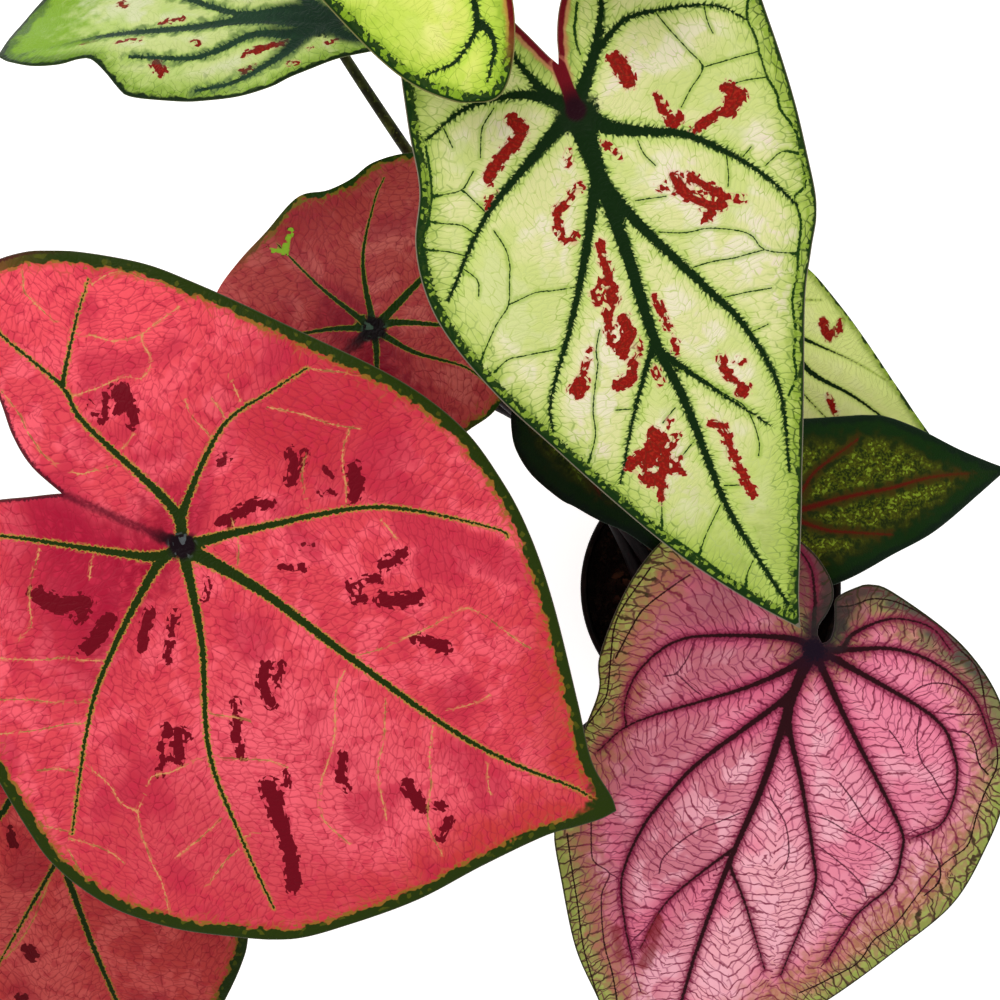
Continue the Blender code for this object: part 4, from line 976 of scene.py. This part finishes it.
def axes(leaf):
    """The blade plane's own directions: to the tip, to the side and square to the blade."""
    heading, pitch, roll = (math.radians(leaf[turn]) for turn in ("heading", "pitch", "roll"))
    level_tip = Vector((math.cos(heading), math.sin(heading), 0))
    tipward = level_tip * math.cos(pitch) + Vector((0, 0, math.sin(pitch)))
    level = Vector((-math.sin(heading), math.cos(heading), 0))
    side = level * math.cos(roll) + tipward.cross(level) * math.sin(roll)
    return tuple(np.array(axis) for axis in (tipward, side, tipward.cross(side)))


def lift(leaf, u, v):
    """How far the blade's curved surface is from its plane."""
    lengthwise = leaf["droop"] * np.maximum(u, 0) ** 2 + leaf["back"] * np.minimum(u, 0) ** 2
    bend = lengthwise + leaf["arch"] * v * v
    ripple = np.sin(leaf["waves"] * np.arctan2(v, u) + leaf["phase"])
    return (leaf["wave"] * (u * u + v * v) * ripple - bend) / leaf["length"] ** 2


def new_object(name, points, faces, material):
    mesh = bpy.data.meshes.new(name)
    mesh.from_pydata(np.asarray(points) * MM, [], faces)
    mesh.materials.append(material)
    mesh.shade_smooth()
    made = bpy.data.objects.new(name, mesh)
    bpy.context.scene.collection.objects.link(made)
    return made


def attach(made, slot, *nodes):
    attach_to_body(made, "root")
    if nodes:
        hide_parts(*nodes)


def blade_points(edge, lines):
    """The blade's triangles in its own plane: its edge, its vein lines and an even grid between."""
    points = [edge]
    links = [(i, (i + 1) % len(edge)) for i in range(len(edge))]
    count = len(edge)
    for line in lines:
        points.append(line)
        links += [(count + i, count + i + 1) for i in range(len(line) - 1)]
        count += len(line)
    low = edge.min(0) - GRID
    high = edge.max(0) + GRID
    rows = []
    # Even triangles: rows 0.87 of a step apart, every second one moved by half a step
    for number, row in enumerate(np.arange(low[1], high[1], GRID * 0.87)):
        columns = np.arange(low[0] + GRID * 0.5 * (number % 2), high[0], GRID)
        rows.append(np.column_stack([columns, np.full(len(columns), row)]))
    grid = np.vstack(rows)
    grid = grid[inside(grid, edge)]
    points.append(grid[nearest(grid, [np.vstack([edge, edge[:1]]), *lines]) > 0.5 * GRID])

    def triangulate():
        flat, _, triangles, _, _, _ = delaunay_2d_cdt(
            [Vector(p) for p in np.vstack(points)], links, [], 0, 1e-3)
        flat = np.array(flat)
        triangles = np.array(triangles)
        return flat, triangles[inside(flat[triangles].mean(1), edge)]

    # Where a triangle's side joins two lines, a point half way keeps the colour of both off the gap
    flat, triangles = triangulate()
    sides = np.vstack([triangles[:, pair] for pair in ([0, 1], [1, 2], [2, 0])])
    sides = np.unique(np.sort(sides), axis=0)
    sides = sides[(nearest(flat, lines) < ON_LINE)[sides].all(1)]
    halfway = flat[sides].mean(1)
    points.append(halfway[nearest(halfway, lines) > OFF_LINE])
    flat, triangles = triangulate()
    used, triangles = np.unique(triangles, return_inverse=True)
    return flat[used], triangles.reshape(-1, 3)


def blade_shell(flat, triangles):
    """The points on the blade's border, how far each stands out there, and the faces of the whole
    blade: the upper face's points come first, then the lower face's, then those of the border."""
    ends = np.concatenate([triangles[:, pair] for pair in ([0, 1], [1, 2], [2, 0])]).tolist()
    known = set(map(tuple, ends))
    border = np.array([pair for pair in ends if (pair[1], pair[0]) not in known])
    step = flat[border[:, 1]] - flat[border[:, 0]]
    normal = np.column_stack([step[:, 1], -step[:, 0]])
    out = np.zeros_like(flat)
    for end in border.T:
        np.add.at(out, end, normal)
    ring = np.unique(border)
    out = out[ring] / np.maximum(np.linalg.norm(out[ring], axis=1), 1e-6)[:, None] * EDGE_ROUND
    count = len(flat)
    middle = np.zeros(count, int)
    middle[ring] = np.arange(len(ring)) + 2 * count
    start, end = border.T
    walls = np.concatenate([
        np.column_stack([end, start, middle[start], middle[end]]),
        np.column_stack([middle[end], middle[start], start + count, end + count])])
    faces = triangles.tolist() + (triangles[:, ::-1] + count).tolist() + walls.tolist()
    return ring, out, faces


def net_flow(place, faces, away, aside, onward):
    """Where each corner of each face lies in the net, which runs square to the nearest main vein.
    A face keeps to one vein. place has a row for each corner, face by face, and the distances to
    the veins have a column."""
    sizes = np.array([len(face) for face in faces])
    first = np.append(0, np.cumsum(sizes)[:-1])
    label = np.repeat(np.add.reduceat(away, first, axis=1).argmin(0), sizes)
    corner = np.arange(len(label))
    gone = aside[label, corner]
    slant = onward[label, corner] - SLANT * np.abs(gone) + NET_SHIFT * label
    flow = np.column_stack([slant, gone, 0 * gone])
    # Inside a bend the nearest spot on the vein leaps. A face across it keeps the net's size.
    head = np.repeat(first, sizes)
    leap = np.maximum.reduceat(np.abs(flow - flow[head]).max(1), first) > LEAP
    plain = flow[head]
    plain[:, :2] += place - place[head]
    return np.where(np.repeat(leap, sizes)[:, None], plain, flow)


def add_blade(name, leaf, look, skin):
    right, left = (flowing([leaf["sinus"], *leaf[rim], leaf["tip"]], LINE_STEP)
                   for rim in ("right", "left"))
    edge = np.vstack([right, left[-2:0:-1]])
    ribs = [(half, flowing(points, LINE_STEP)) for half, points in leaf["veins"]]
    twigs = [flowing(points, LINE_STEP) for points in TWIGS.get(name, [])]
    flat, triangles = blade_points(edge, [line for _, line in ribs] + twigs)
    u, v = flat.T
    # Main veins: distance, way along, side, and the half width of the rib and of its colour
    away, along, reach, aside, onward = (
        np.array(part) for part in zip(*(measure(flat, line) for _, line in ribs)))
    gone = along / reach[:, None]
    half = np.array([half for half, _ in ribs])[:, None] * (1 - VEIN_TAPER * gone)
    rib = np.maximum(half - away, 0).max(0)
    swell = look["swell"][0] + look["swell"][1] * np.exp(-(u * u + v * v) / HUB_REACH ** 2)
    vein = (half * swell * (1 - COLOUR_TAPER * gone) - away).max(0)
    twig_away = nearest(flat, twigs)
    splash = np.full(len(flat), -FAR)
    for width, points in SPLASHES.get(name, []):
        splash = np.maximum(splash, width - measure(flat, np.array(points, float))[0])
    rim, way, around = measure(flat, np.vstack([edge, edge[:1]]))[:3]
    way = np.minimum(way, around - way)
    seam = nearest(flat, [np.array([(0, 0), leaf["sinus"]], float)])
    # The two faces, and a ring of points that stand out half way between them
    pucker = PUCKER * (1 - np.exp(-(away.min(0) / PUCKER_REACH) ** 2))
    quilt = QUILT * np.exp(-(twig_away / QUILT_REACH) ** 2)
    height = lift(leaf, u, v) + pucker - GROOVE * rib - quilt
    tipward, side, up = axes(leaf)
    place = np.array(leaf["hub"]) + np.outer(u, tipward) + np.outer(v, side)
    upper = place + np.outer(height, up)
    lower = place + np.outer(height - THIN - RIB_HEIGHT * rib, up)
    ring, out, faces = blade_shell(flat, triangles)
    middle = (upper[ring] + lower[ring]) / 2 + out @ np.array([tipward, side])
    low, high = (np.array(corner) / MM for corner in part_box("blade_" + name))
    points = np.clip(np.vstack([upper, lower, middle]), low, high)
    made = new_object("leaf_" + name, points, faces, skin)
    # What the skin reads
    count = len(flat)
    every = np.concatenate([np.arange(count), np.arange(count), ring])
    under = np.concatenate([np.zeros(count), np.ones(count), np.full(len(ring), 0.5)])
    corners = every[[corner for face in faces for corner in face]]
    flow = net_flow(flat[corners], faces, away[:, corners], aside[:, corners], onward[:, corners])
    for label, domain, values in (
            ("plane", "POINT", (u[every], v[every], seam[every])),
            ("marks", "POINT", (vein[every], TWIG_HALF - twig_away[every], splash[every])),
            ("border", "POINT", (rim[every], under, way[every])),
            ("flow", "CORNER", flow.T)):
        carried = made.data.attributes.new(label, "FLOAT_VECTOR", domain)
        carried.data.foreach_set("vector", np.column_stack(values).ravel())
    attach(made, "leaf_" + leaf["kind"], "blade_" + name)


def tube(path, radii, sides):
    """A round tube along the path, its ends closed by small domes."""
    along = np.gradient(path, axis=0)
    along /= np.linalg.norm(along, axis=1)[:, None]
    across = np.array([1.0, 0.0, 0.0])
    points = [path[0] - along[0] * radii[0] * END_DOME]
    for centre, way, radius in zip(path, along, radii):
        across = across - way * across.dot(way)
        across /= np.linalg.norm(across)
        square = np.cross(way, across)
        for k in range(sides):
            angle = math.tau * k / sides
            points.append(centre + radius * (across * math.cos(angle) + square * math.sin(angle)))
    points.append(path[-1] + along[-1] * radii[-1] * END_DOME)
    faces = []
    last = len(points) - 1
    for k in range(sides):
        after = (k + 1) % sides
        faces.append((0, 1 + after, 1 + k))
        faces.append((last, last - sides + k, last - sides + after))
        for ring in range(len(path) - 1):
            low = 1 + ring * sides
            faces.append((low + k, low + after, low + sides + after, low + sides + k))
    return points, faces


def add_stalk(name, leaf, skin):
    (x, y), half_width, half_height = TUBERS[leaf["kind"]]
    angle = math.radians(leaf["root"])
    foot = np.array([x + STALK_RING * math.cos(angle), y + STALK_RING * math.sin(angle), 0])
    low = (STALK_RING - STALK_BASE) / half_width
    crown = TUBER_MIDDLE + half_height * TUBER_CROWN * math.sqrt(1 - low * low) + GAP
    up = axes(leaf)[2]
    thickest = max(half for half, _ in leaf["veins"])
    top = np.array(leaf["hub"]) - up * (BLADE + RIB_HEIGHT * thickest + GAP)
    collar = foot + (0, 0, SOIL_TOP + STALK_COLLAR)
    chord = top - collar
    length = np.linalg.norm(chord)
    arrive = chord / length + up * ARRIVE
    first = collar + chord * RISE
    second = top - arrive / np.linalg.norm(arrive) * length * ARRIVE_REACH
    # A stalk that bows its own way has the curve's two handles in its leaf's row
    if "handles" in leaf:
        first, second = np.array(leaf["handles"], float)
    t = np.linspace(0, 1, STALK_RINGS)[:, None]
    s = 1 - t
    path = collar * s ** 3 + 3 * first * s * s * t + 3 * second * s * t * t + top * t ** 3
    path = np.vstack([foot + (0, 0, crown + 1), path])
    taper = s.ravel() ** STALK_TAPER
    radii = np.append(STALK_BASE, STALK_TOP + (STALK_BASE - STALK_TOP) * taper)
    points, faces = tube(path, radii, STALK_SIDES)
    made = new_object("petiole_" + name, points, faces, skin)
    attach(made, "stalk_" + leaf["kind"], "stalk_" + name)


def wall_radius(z):
    """The pot's inner radius at a height: two plain tapers, with a step under the rim's band."""
    under_band = POT_HEIGHT - RIM_BAND
    if z > under_band + 3:
        return RIM_RADIUS - 1.2 - WALL - (POT_HEIGHT - z) * 0.06
    low = BASE_RADIUS - WALL + 0.8
    high = RIM_RADIUS - RIM_STEP - WALL - 0.8
    return low + (high - low) * min(z / under_band, 1)


def applied(made):
    """The object again as a plain mesh, its modifiers taken in."""
    graph = bpy.context.evaluated_depsgraph_get()
    mesh = bpy.data.meshes.new_from_object(made.evaluated_get(graph))
    made.modifiers.clear()
    made.data = mesh


def circle(sides, radius):
    turn = math.tau * np.arange(sides) / sides
    return radius * np.column_stack([np.cos(turn), np.sin(turn)])


def band(low, high, sides):
    """The faces between two rings of points that start at low and high, facing outwards."""
    after = [(k + 1) % sides for k in range(sides)]
    return [(low + k, low + n, high + n, high + k) for k, n in enumerate(after)]


def disc(border, holes):
    """The triangles between a border and its holes, by their points in that order."""
    links = []
    count = 0
    for loop in (border, *holes):
        links += [(count + i, count + (i + 1) % len(loop)) for i in range(len(loop))]
        count += len(loop)
    flat, _, triangles, given, _, _ = delaunay_2d_cdt(
        [Vector(p) for p in np.vstack([border, *holes])], links, [], 0, 1e-3)
    triangles = np.array(triangles)
    middle = np.array(flat)[triangles].mean(1)
    bare = np.any([inside(middle, hole) for hole in holes], axis=0)
    return np.array([numbers[0] for numbers in given])[triangles[inside(middle, border) & ~bare]]


def add_pot():
    # The wall's section from the edge of the base, up the outside, over the rim and back inside
    top = POT_HEIGHT
    rim = RIM_RADIUS
    base = BASE_RADIUS
    under = POT_HEIGHT - RIM_BAND
    profile = [
        (base - 0.8, 0), (base - 0.2, 0.4), (base, 1.2),
        (wall_radius(under) + WALL, under - 0.3), (wall_radius(under) + WALL + 0.5, under),
        (rim - 1.8, under + 0.2), (rim - 1.4, under + 0.8),
        (rim - 0.1, top - 2), (rim, top - 1.1), (rim - 0.2, top - 0.35), (rim - 0.8, top),
        (rim - WALL, top), (rim - WALL - 0.6, top - 0.3), (rim - WALL - 1.1, top - 1),
        (wall_radius(under + 3.01), under + 3), (wall_radius(under), under),
        (wall_radius(FLOOR + 1), FLOOR + 1), (wall_radius(FLOOR) - 1, FLOOR),
    ]
    points = [np.column_stack([circle(POT_SIDES, radius), np.full(POT_SIDES, z)])
              for radius, z in profile]
    last = (len(profile) - 1) * POT_SIDES
    faces = []
    for low in range(0, last, POT_SIDES):
        faces += band(low, low + POT_SIDES, POT_SIDES)
    # The base and the floor, with the drain holes through both
    centres = circle(2 * DRAIN_HOLES, DRAIN_RING)[1::2]
    holes = [circle(DRAIN_SIDES, DRAIN_RADIUS) + centre for centre in centres]
    drains = last + POT_SIDES
    through = DRAIN_HOLES * DRAIN_SIDES
    for z, ring, start, way in ((0, 0, drains, -1), (FLOOR, last, drains + through, 1)):
        border = points[ring // POT_SIDES][:, :2]
        triangles = disc(border, holes)[:, ::way]
        on_border = triangles < POT_SIDES
        faces += np.where(on_border, triangles + ring, triangles - POT_SIDES + start).tolist()
        points.append(np.column_stack([np.vstack(holes), np.full(through, z)]))
    for low in range(drains, drains + through, DRAIN_SIDES):
        faces += band(low + through, low, DRAIN_SIDES)
    pot = new_object("grower_pot", np.vstack(points), faces, polypropylene())
    pot.data.set_sharp_from_angle(angle=math.radians(SHARP_DEGREES))
    attach(pot, "pot", "pot")


def scatter_tree():
    """Grains strewn over the face that carries it: size in metres, how many a square metre, how
    flat."""
    tree = bpy.data.node_groups.new("strewn_grains", "GeometryNodeTree")
    wanted = {}
    for name, kind in (("Carrier", "NodeSocketGeometry"), ("Size", "NodeSocketFloat"),
                       ("Thickness", "NodeSocketFloat"), ("Density", "NodeSocketFloat"),
                       ("Seed", "NodeSocketInt"), ("Finish", "NodeSocketMaterial")):
        wanted[name] = tree.interface.new_socket(name, in_out="INPUT", socket_type=kind)
    tree.interface.new_socket("Grains", in_out="OUTPUT", socket_type="NodeSocketGeometry")
    given = add(tree, "NodeGroupInput").outputs
    strewn = add(tree, "GeometryNodeDistributePointsOnFaces", {
        "Mesh": given["Carrier"], "Density": given["Density"], "Seed": given["Seed"]})
    ball = add(tree, "GeometryNodeMeshIcoSphere", {"Radius": 0.5, "Subdivisions": 2})
    knobs = add(tree, "ShaderNodeTexNoise", {"Scale": 1.6, "Detail": 1.0})
    push = add(tree, "ShaderNodeVectorMath", {0: knobs.outputs["Color"], 1: (0.5, 0.5, 0.5)},
               operation="SUBTRACT")
    ball = add(tree, "GeometryNodeSetPosition", {"Geometry": ball, "Offset": push})
    least = add(tree, "ShaderNodeCombineXYZ", {0: 0.5, 1: 0.35, 2: given["Thickness"]})
    most = add(tree, "ShaderNodeCombineXYZ", {0: 1.3, 1: 0.9, 2: given["Thickness"]})
    shape = add(tree, "FunctionNodeRandomValue", {0: least, 1: most, "Seed": given["Seed"]},
                data_type="FLOAT_VECTOR")
    size = add(tree, "ShaderNodeVectorMath", {0: shape, "Scale": given["Size"]}, operation="SCALE")
    turn = add(tree, "FunctionNodeRandomValue", {
        0: (-0.5, -0.5, 0.0), 1: (0.5, 0.5, 6.3), "Seed": given["Seed"]}, data_type="FLOAT_VECTOR")
    grains = add(tree, "GeometryNodeInstanceOnPoints", {
        "Points": strewn, "Instance": ball, "Rotation": turn, "Scale": size})
    whole = add(tree, "GeometryNodeRealizeInstances", {0: grains})
    done = add(tree, "GeometryNodeSetMaterial", {"Geometry": whole, "Material": given["Finish"]})
    add(tree, "NodeGroupOutput", {0: done})
    return tree, {name: socket.identifier for name, socket in wanted.items()}


def soil_disc(reach):
    """The soil's domed, bumpy top as far as this from the middle, a little below the real one."""
    points = [(0.0, 0.0, SOIL_TOP + SOIL_DOME)]
    for ring in range(1, SOIL_RINGS + 1):
        radius = reach * ring / SOIL_RINGS
        for k in range(SOIL_SIDES):
            angle = math.tau * k / SOIL_SIDES
            x, y = radius * math.cos(angle), radius * math.sin(angle)
            dome = SOIL_DOME * (1 - (radius / RIM_RADIUS) ** 2)
            bump = SOIL_BUMP * noise.noise(Vector((x, y, 3)) / SOIL_LUMP)
            points.append((x, y, SOIL_TOP + dome + bump - 0.3))
    faces = []
    for k in range(SOIL_SIDES):
        after = (k + 1) % SOIL_SIDES
        faces.append((0, 1 + k, 1 + after))
        for low in range(1, 1 + SOIL_SIDES * (SOIL_RINGS - 1), SOIL_SIDES):
            high = low + SOIL_SIDES
            faces.append((low + k, high + k, high + after, low + after))
    return points, faces


def add_soil():
    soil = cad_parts["soil"]
    soil.data.materials.clear()
    soil.data.materials.append(peat())
    tree, sockets = scatter_tree()
    # Size in metres, thickness for that size, grains for a square metre, seed
    for name, size, thickness, density, seed, finish in (
            ("peat_crumbs", 0.0030, 0.7, 300000.0, 3, crumbs()),
            ("bark_chips", 0.0075, 0.28, 14000.0, 5, bark())):
        # Each kind's share of the top lies inside the pot's wall by a grain's width
        reach = wall_radius(SOIL_TOP) - 1.0 - size / MM * 0.7
        made = new_object(name, *soil_disc(reach), finish)
        strew = made.modifiers.new("strew", "NODES")
        strew.node_group = tree
        for label, value in (("Size", size), ("Thickness", thickness), ("Density", density),
                             ("Seed", seed), ("Finish", finish)):
            strew[sockets[label]] = value
        applied(made)
        attach(made, "soil")


# Plainer skins


def plain_skin(name, colours, size, roughness, specular, depth, stretch=(1, 1, 1), spots=None):
    """Colours blended by a noise whose lumps are size mm, with a finer one for gloss and relief."""
    made, tree = new_material(name)
    place = add(tree, "ShaderNodeTexCoord").outputs["Object"]
    lumps = [1 / (size * MM) * s for s in stretch]
    place = add(tree, "ShaderNodeVectorMath", {0: place, 1: lumps}, operation="MULTIPLY")
    cloud = add(tree, "ShaderNodeTexNoise", {"Vector": place, "Scale": 1.0, "Detail": 3.0})
    fine = add(tree, "ShaderNodeTexNoise", {"Vector": place, "Scale": 4.0, "Detail": 4.0})
    tone = linear(colours[0])
    for i, colour in enumerate(colours[1:]):
        share = add(tree, "ShaderNodeMapRange", {
            "Value": cloud, "From Min": 0.42 + 0.12 * i, "From Max": 0.56 + 0.12 * i},
            interpolation_type="SMOOTHSTEP")
        tone = add(tree, "ShaderNodeMix", {0: share, 6: tone, 7: linear(colour)},
                   data_type="RGBA").outputs[2]
    if spots:
        share = add(tree, "ShaderNodeMapRange", {
            "Value": fine, "From Min": 0.58, "From Max": 0.66})
        tone = add(tree, "ShaderNodeMix", {0: share, 6: tone, 7: linear(spots)},
                   data_type="RGBA").outputs[2]
    gloss = add(tree, "ShaderNodeMapRange", {
        "Value": fine, "From Min": 0.3, "From Max": 0.7,
        "To Min": roughness - 0.06, "To Max": roughness + 0.08})
    finish_material(tree, tone, gloss, specular, fine, depth)
    return made


def polypropylene():
    # Moulded polypropylene, black brown: satin, with faint scuffs and dried splashes of peat
    return plain_skin("polypropylene_moulded", ("060302", "0B0504", "120906"), 22, 0.5, 0.08,
                      0.0001, (1, 1, 0.5), "18100A")


def peat():
    # Damp peat: dark, matt and crumbly; its colours are made near black as painted shade, where the
    # soil lies in the pot's shadow
    return plain_skin("peat_damp_and_shade", ("080402", "100A06", "1A110A"), 4, 0.9, 0.1, 0.0012)


def crumbs():
    # Peat crumbs: matt, drier and paler than what lies under them, yet kept near black as painted
    # shade of the pot's shadow
    return plain_skin("peat_crumbs", ("0A0503", "150D08", "24180F"), 5, 0.92, 0.1, 0.0004)


def bark():
    # Composted pine bark: matt red brown plates
    return plain_skin("pine_bark", ("180C06", "2C1A0F", "452C1B"), 6, 0.85, 0.12, 0.0004)


def tuber_skin():
    # Caladium tuber: papery brown skin with paler patches
    return plain_skin("tuber_skin", ("5A3E28", "7A5A3C", "9A7A54"), 5, 0.85, 0.2, 0.0006)


def stalk_skin(kind):
    # Leaf stalk, smooth living skin: satin, streaked along its length
    colours = {
        "cream": ("1A1C0A", "2C3010", "444C1C"),
        # Painted shade: the red stalks are near black, as where they pass in shade over the dark
        # pot
        "red": ("080304", "0E0507", "180A0C"),
        "pink": ("1A080E", "2C0E18", "441C26"),
        "dark": ("140A08", "240E0A", "36160E"),
    }[kind]
    return plain_skin("stalk_skin_" + kind, colours, 5, 0.5, 0.07, 0.0002, (1, 1, 0.16), colours[2])


def stage():
    # Painted board, pale, with a little light of its own, so that it stays white under the leaves
    made, tree = new_material("painted_board")
    place = add(tree, "ShaderNodeTexCoord").outputs["Object"]
    cloud = add(tree, "ShaderNodeTexNoise", {"Vector": place, "Scale": 3.0})
    rough = add(tree, "ShaderNodeMapRange", {"Value": cloud, "To Min": 0.75, "To Max": 0.85})
    surface = add(tree, "ShaderNodeBsdfPrincipled", {
        "Base Color": linear("F4F4F2"), "Roughness": rough, "Specular IOR Level": 0.1,
        "Emission Color": linear("FFFFFF"), "Emission Strength": FLOOR_GLOW})
    add(tree, "ShaderNodeOutputMaterial", {"Surface": surface})
    corners = [(x * FLOOR_REACH, y * FLOOR_REACH, 0)
               for x, y in ((-1, -1), (1, -1), (1, 1), (-1, 1))]
    floor = new_object("floor", corners, [(0, 1, 2, 3)], made)

    world = bpy.data.worlds.new("studio")
    bpy.context.scene.world = world
    world.use_nodes = True
    sky = world.node_tree.nodes["Background"].inputs
    sky["Color"].default_value = linear("FFFFFF")
    sky["Strength"].default_value = SKY
    light = bpy.data.lights.new("key_light", "AREA")
    light.shape = "DISK"
    light.size = LAMP_WIDTH
    light.energy = LAMP_POWER
    lamp = bpy.data.objects.new("key_light", light)
    lamp.location = LAMP_PLACE
    lamp.rotation_euler = (-Vector(LAMP_PLACE)).to_track_quat("-Z", "Y").to_euler()
    bpy.context.scene.collection.objects.link(lamp)

    lens = bpy.data.cameras.new("camera")
    lens.lens = LENS_MM
    lens.sensor_width = 36
    camera = bpy.data.objects.new("camera", lens)
    camera.location = (CAMERA_X * MM, CAMERA_Y * MM, CAMERA_HEIGHT * MM)
    bpy.context.scene.collection.objects.link(camera)
    bpy.context.scene.camera = camera
    bpy.context.scene.view_settings.view_transform = "Standard"


stage()
add_pot()
add_soil()
papery = tuber_skin()
stalk_skins = {}
for kind in TUBERS:
    stalk_skins[kind] = stalk_skin(kind)
    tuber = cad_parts["tuber_" + kind]
    tuber.data.materials.clear()
    tuber.data.materials.append(papery)
for name, leaf in LEAVES.items():
    add_stalk(name, leaf, stalk_skins[leaf["kind"]])
    look = LOOKS[leaf["kind"]]
    add_blade(name, leaf, look, leaf_skin("leaf_skin_" + name, look, OWN[name]))
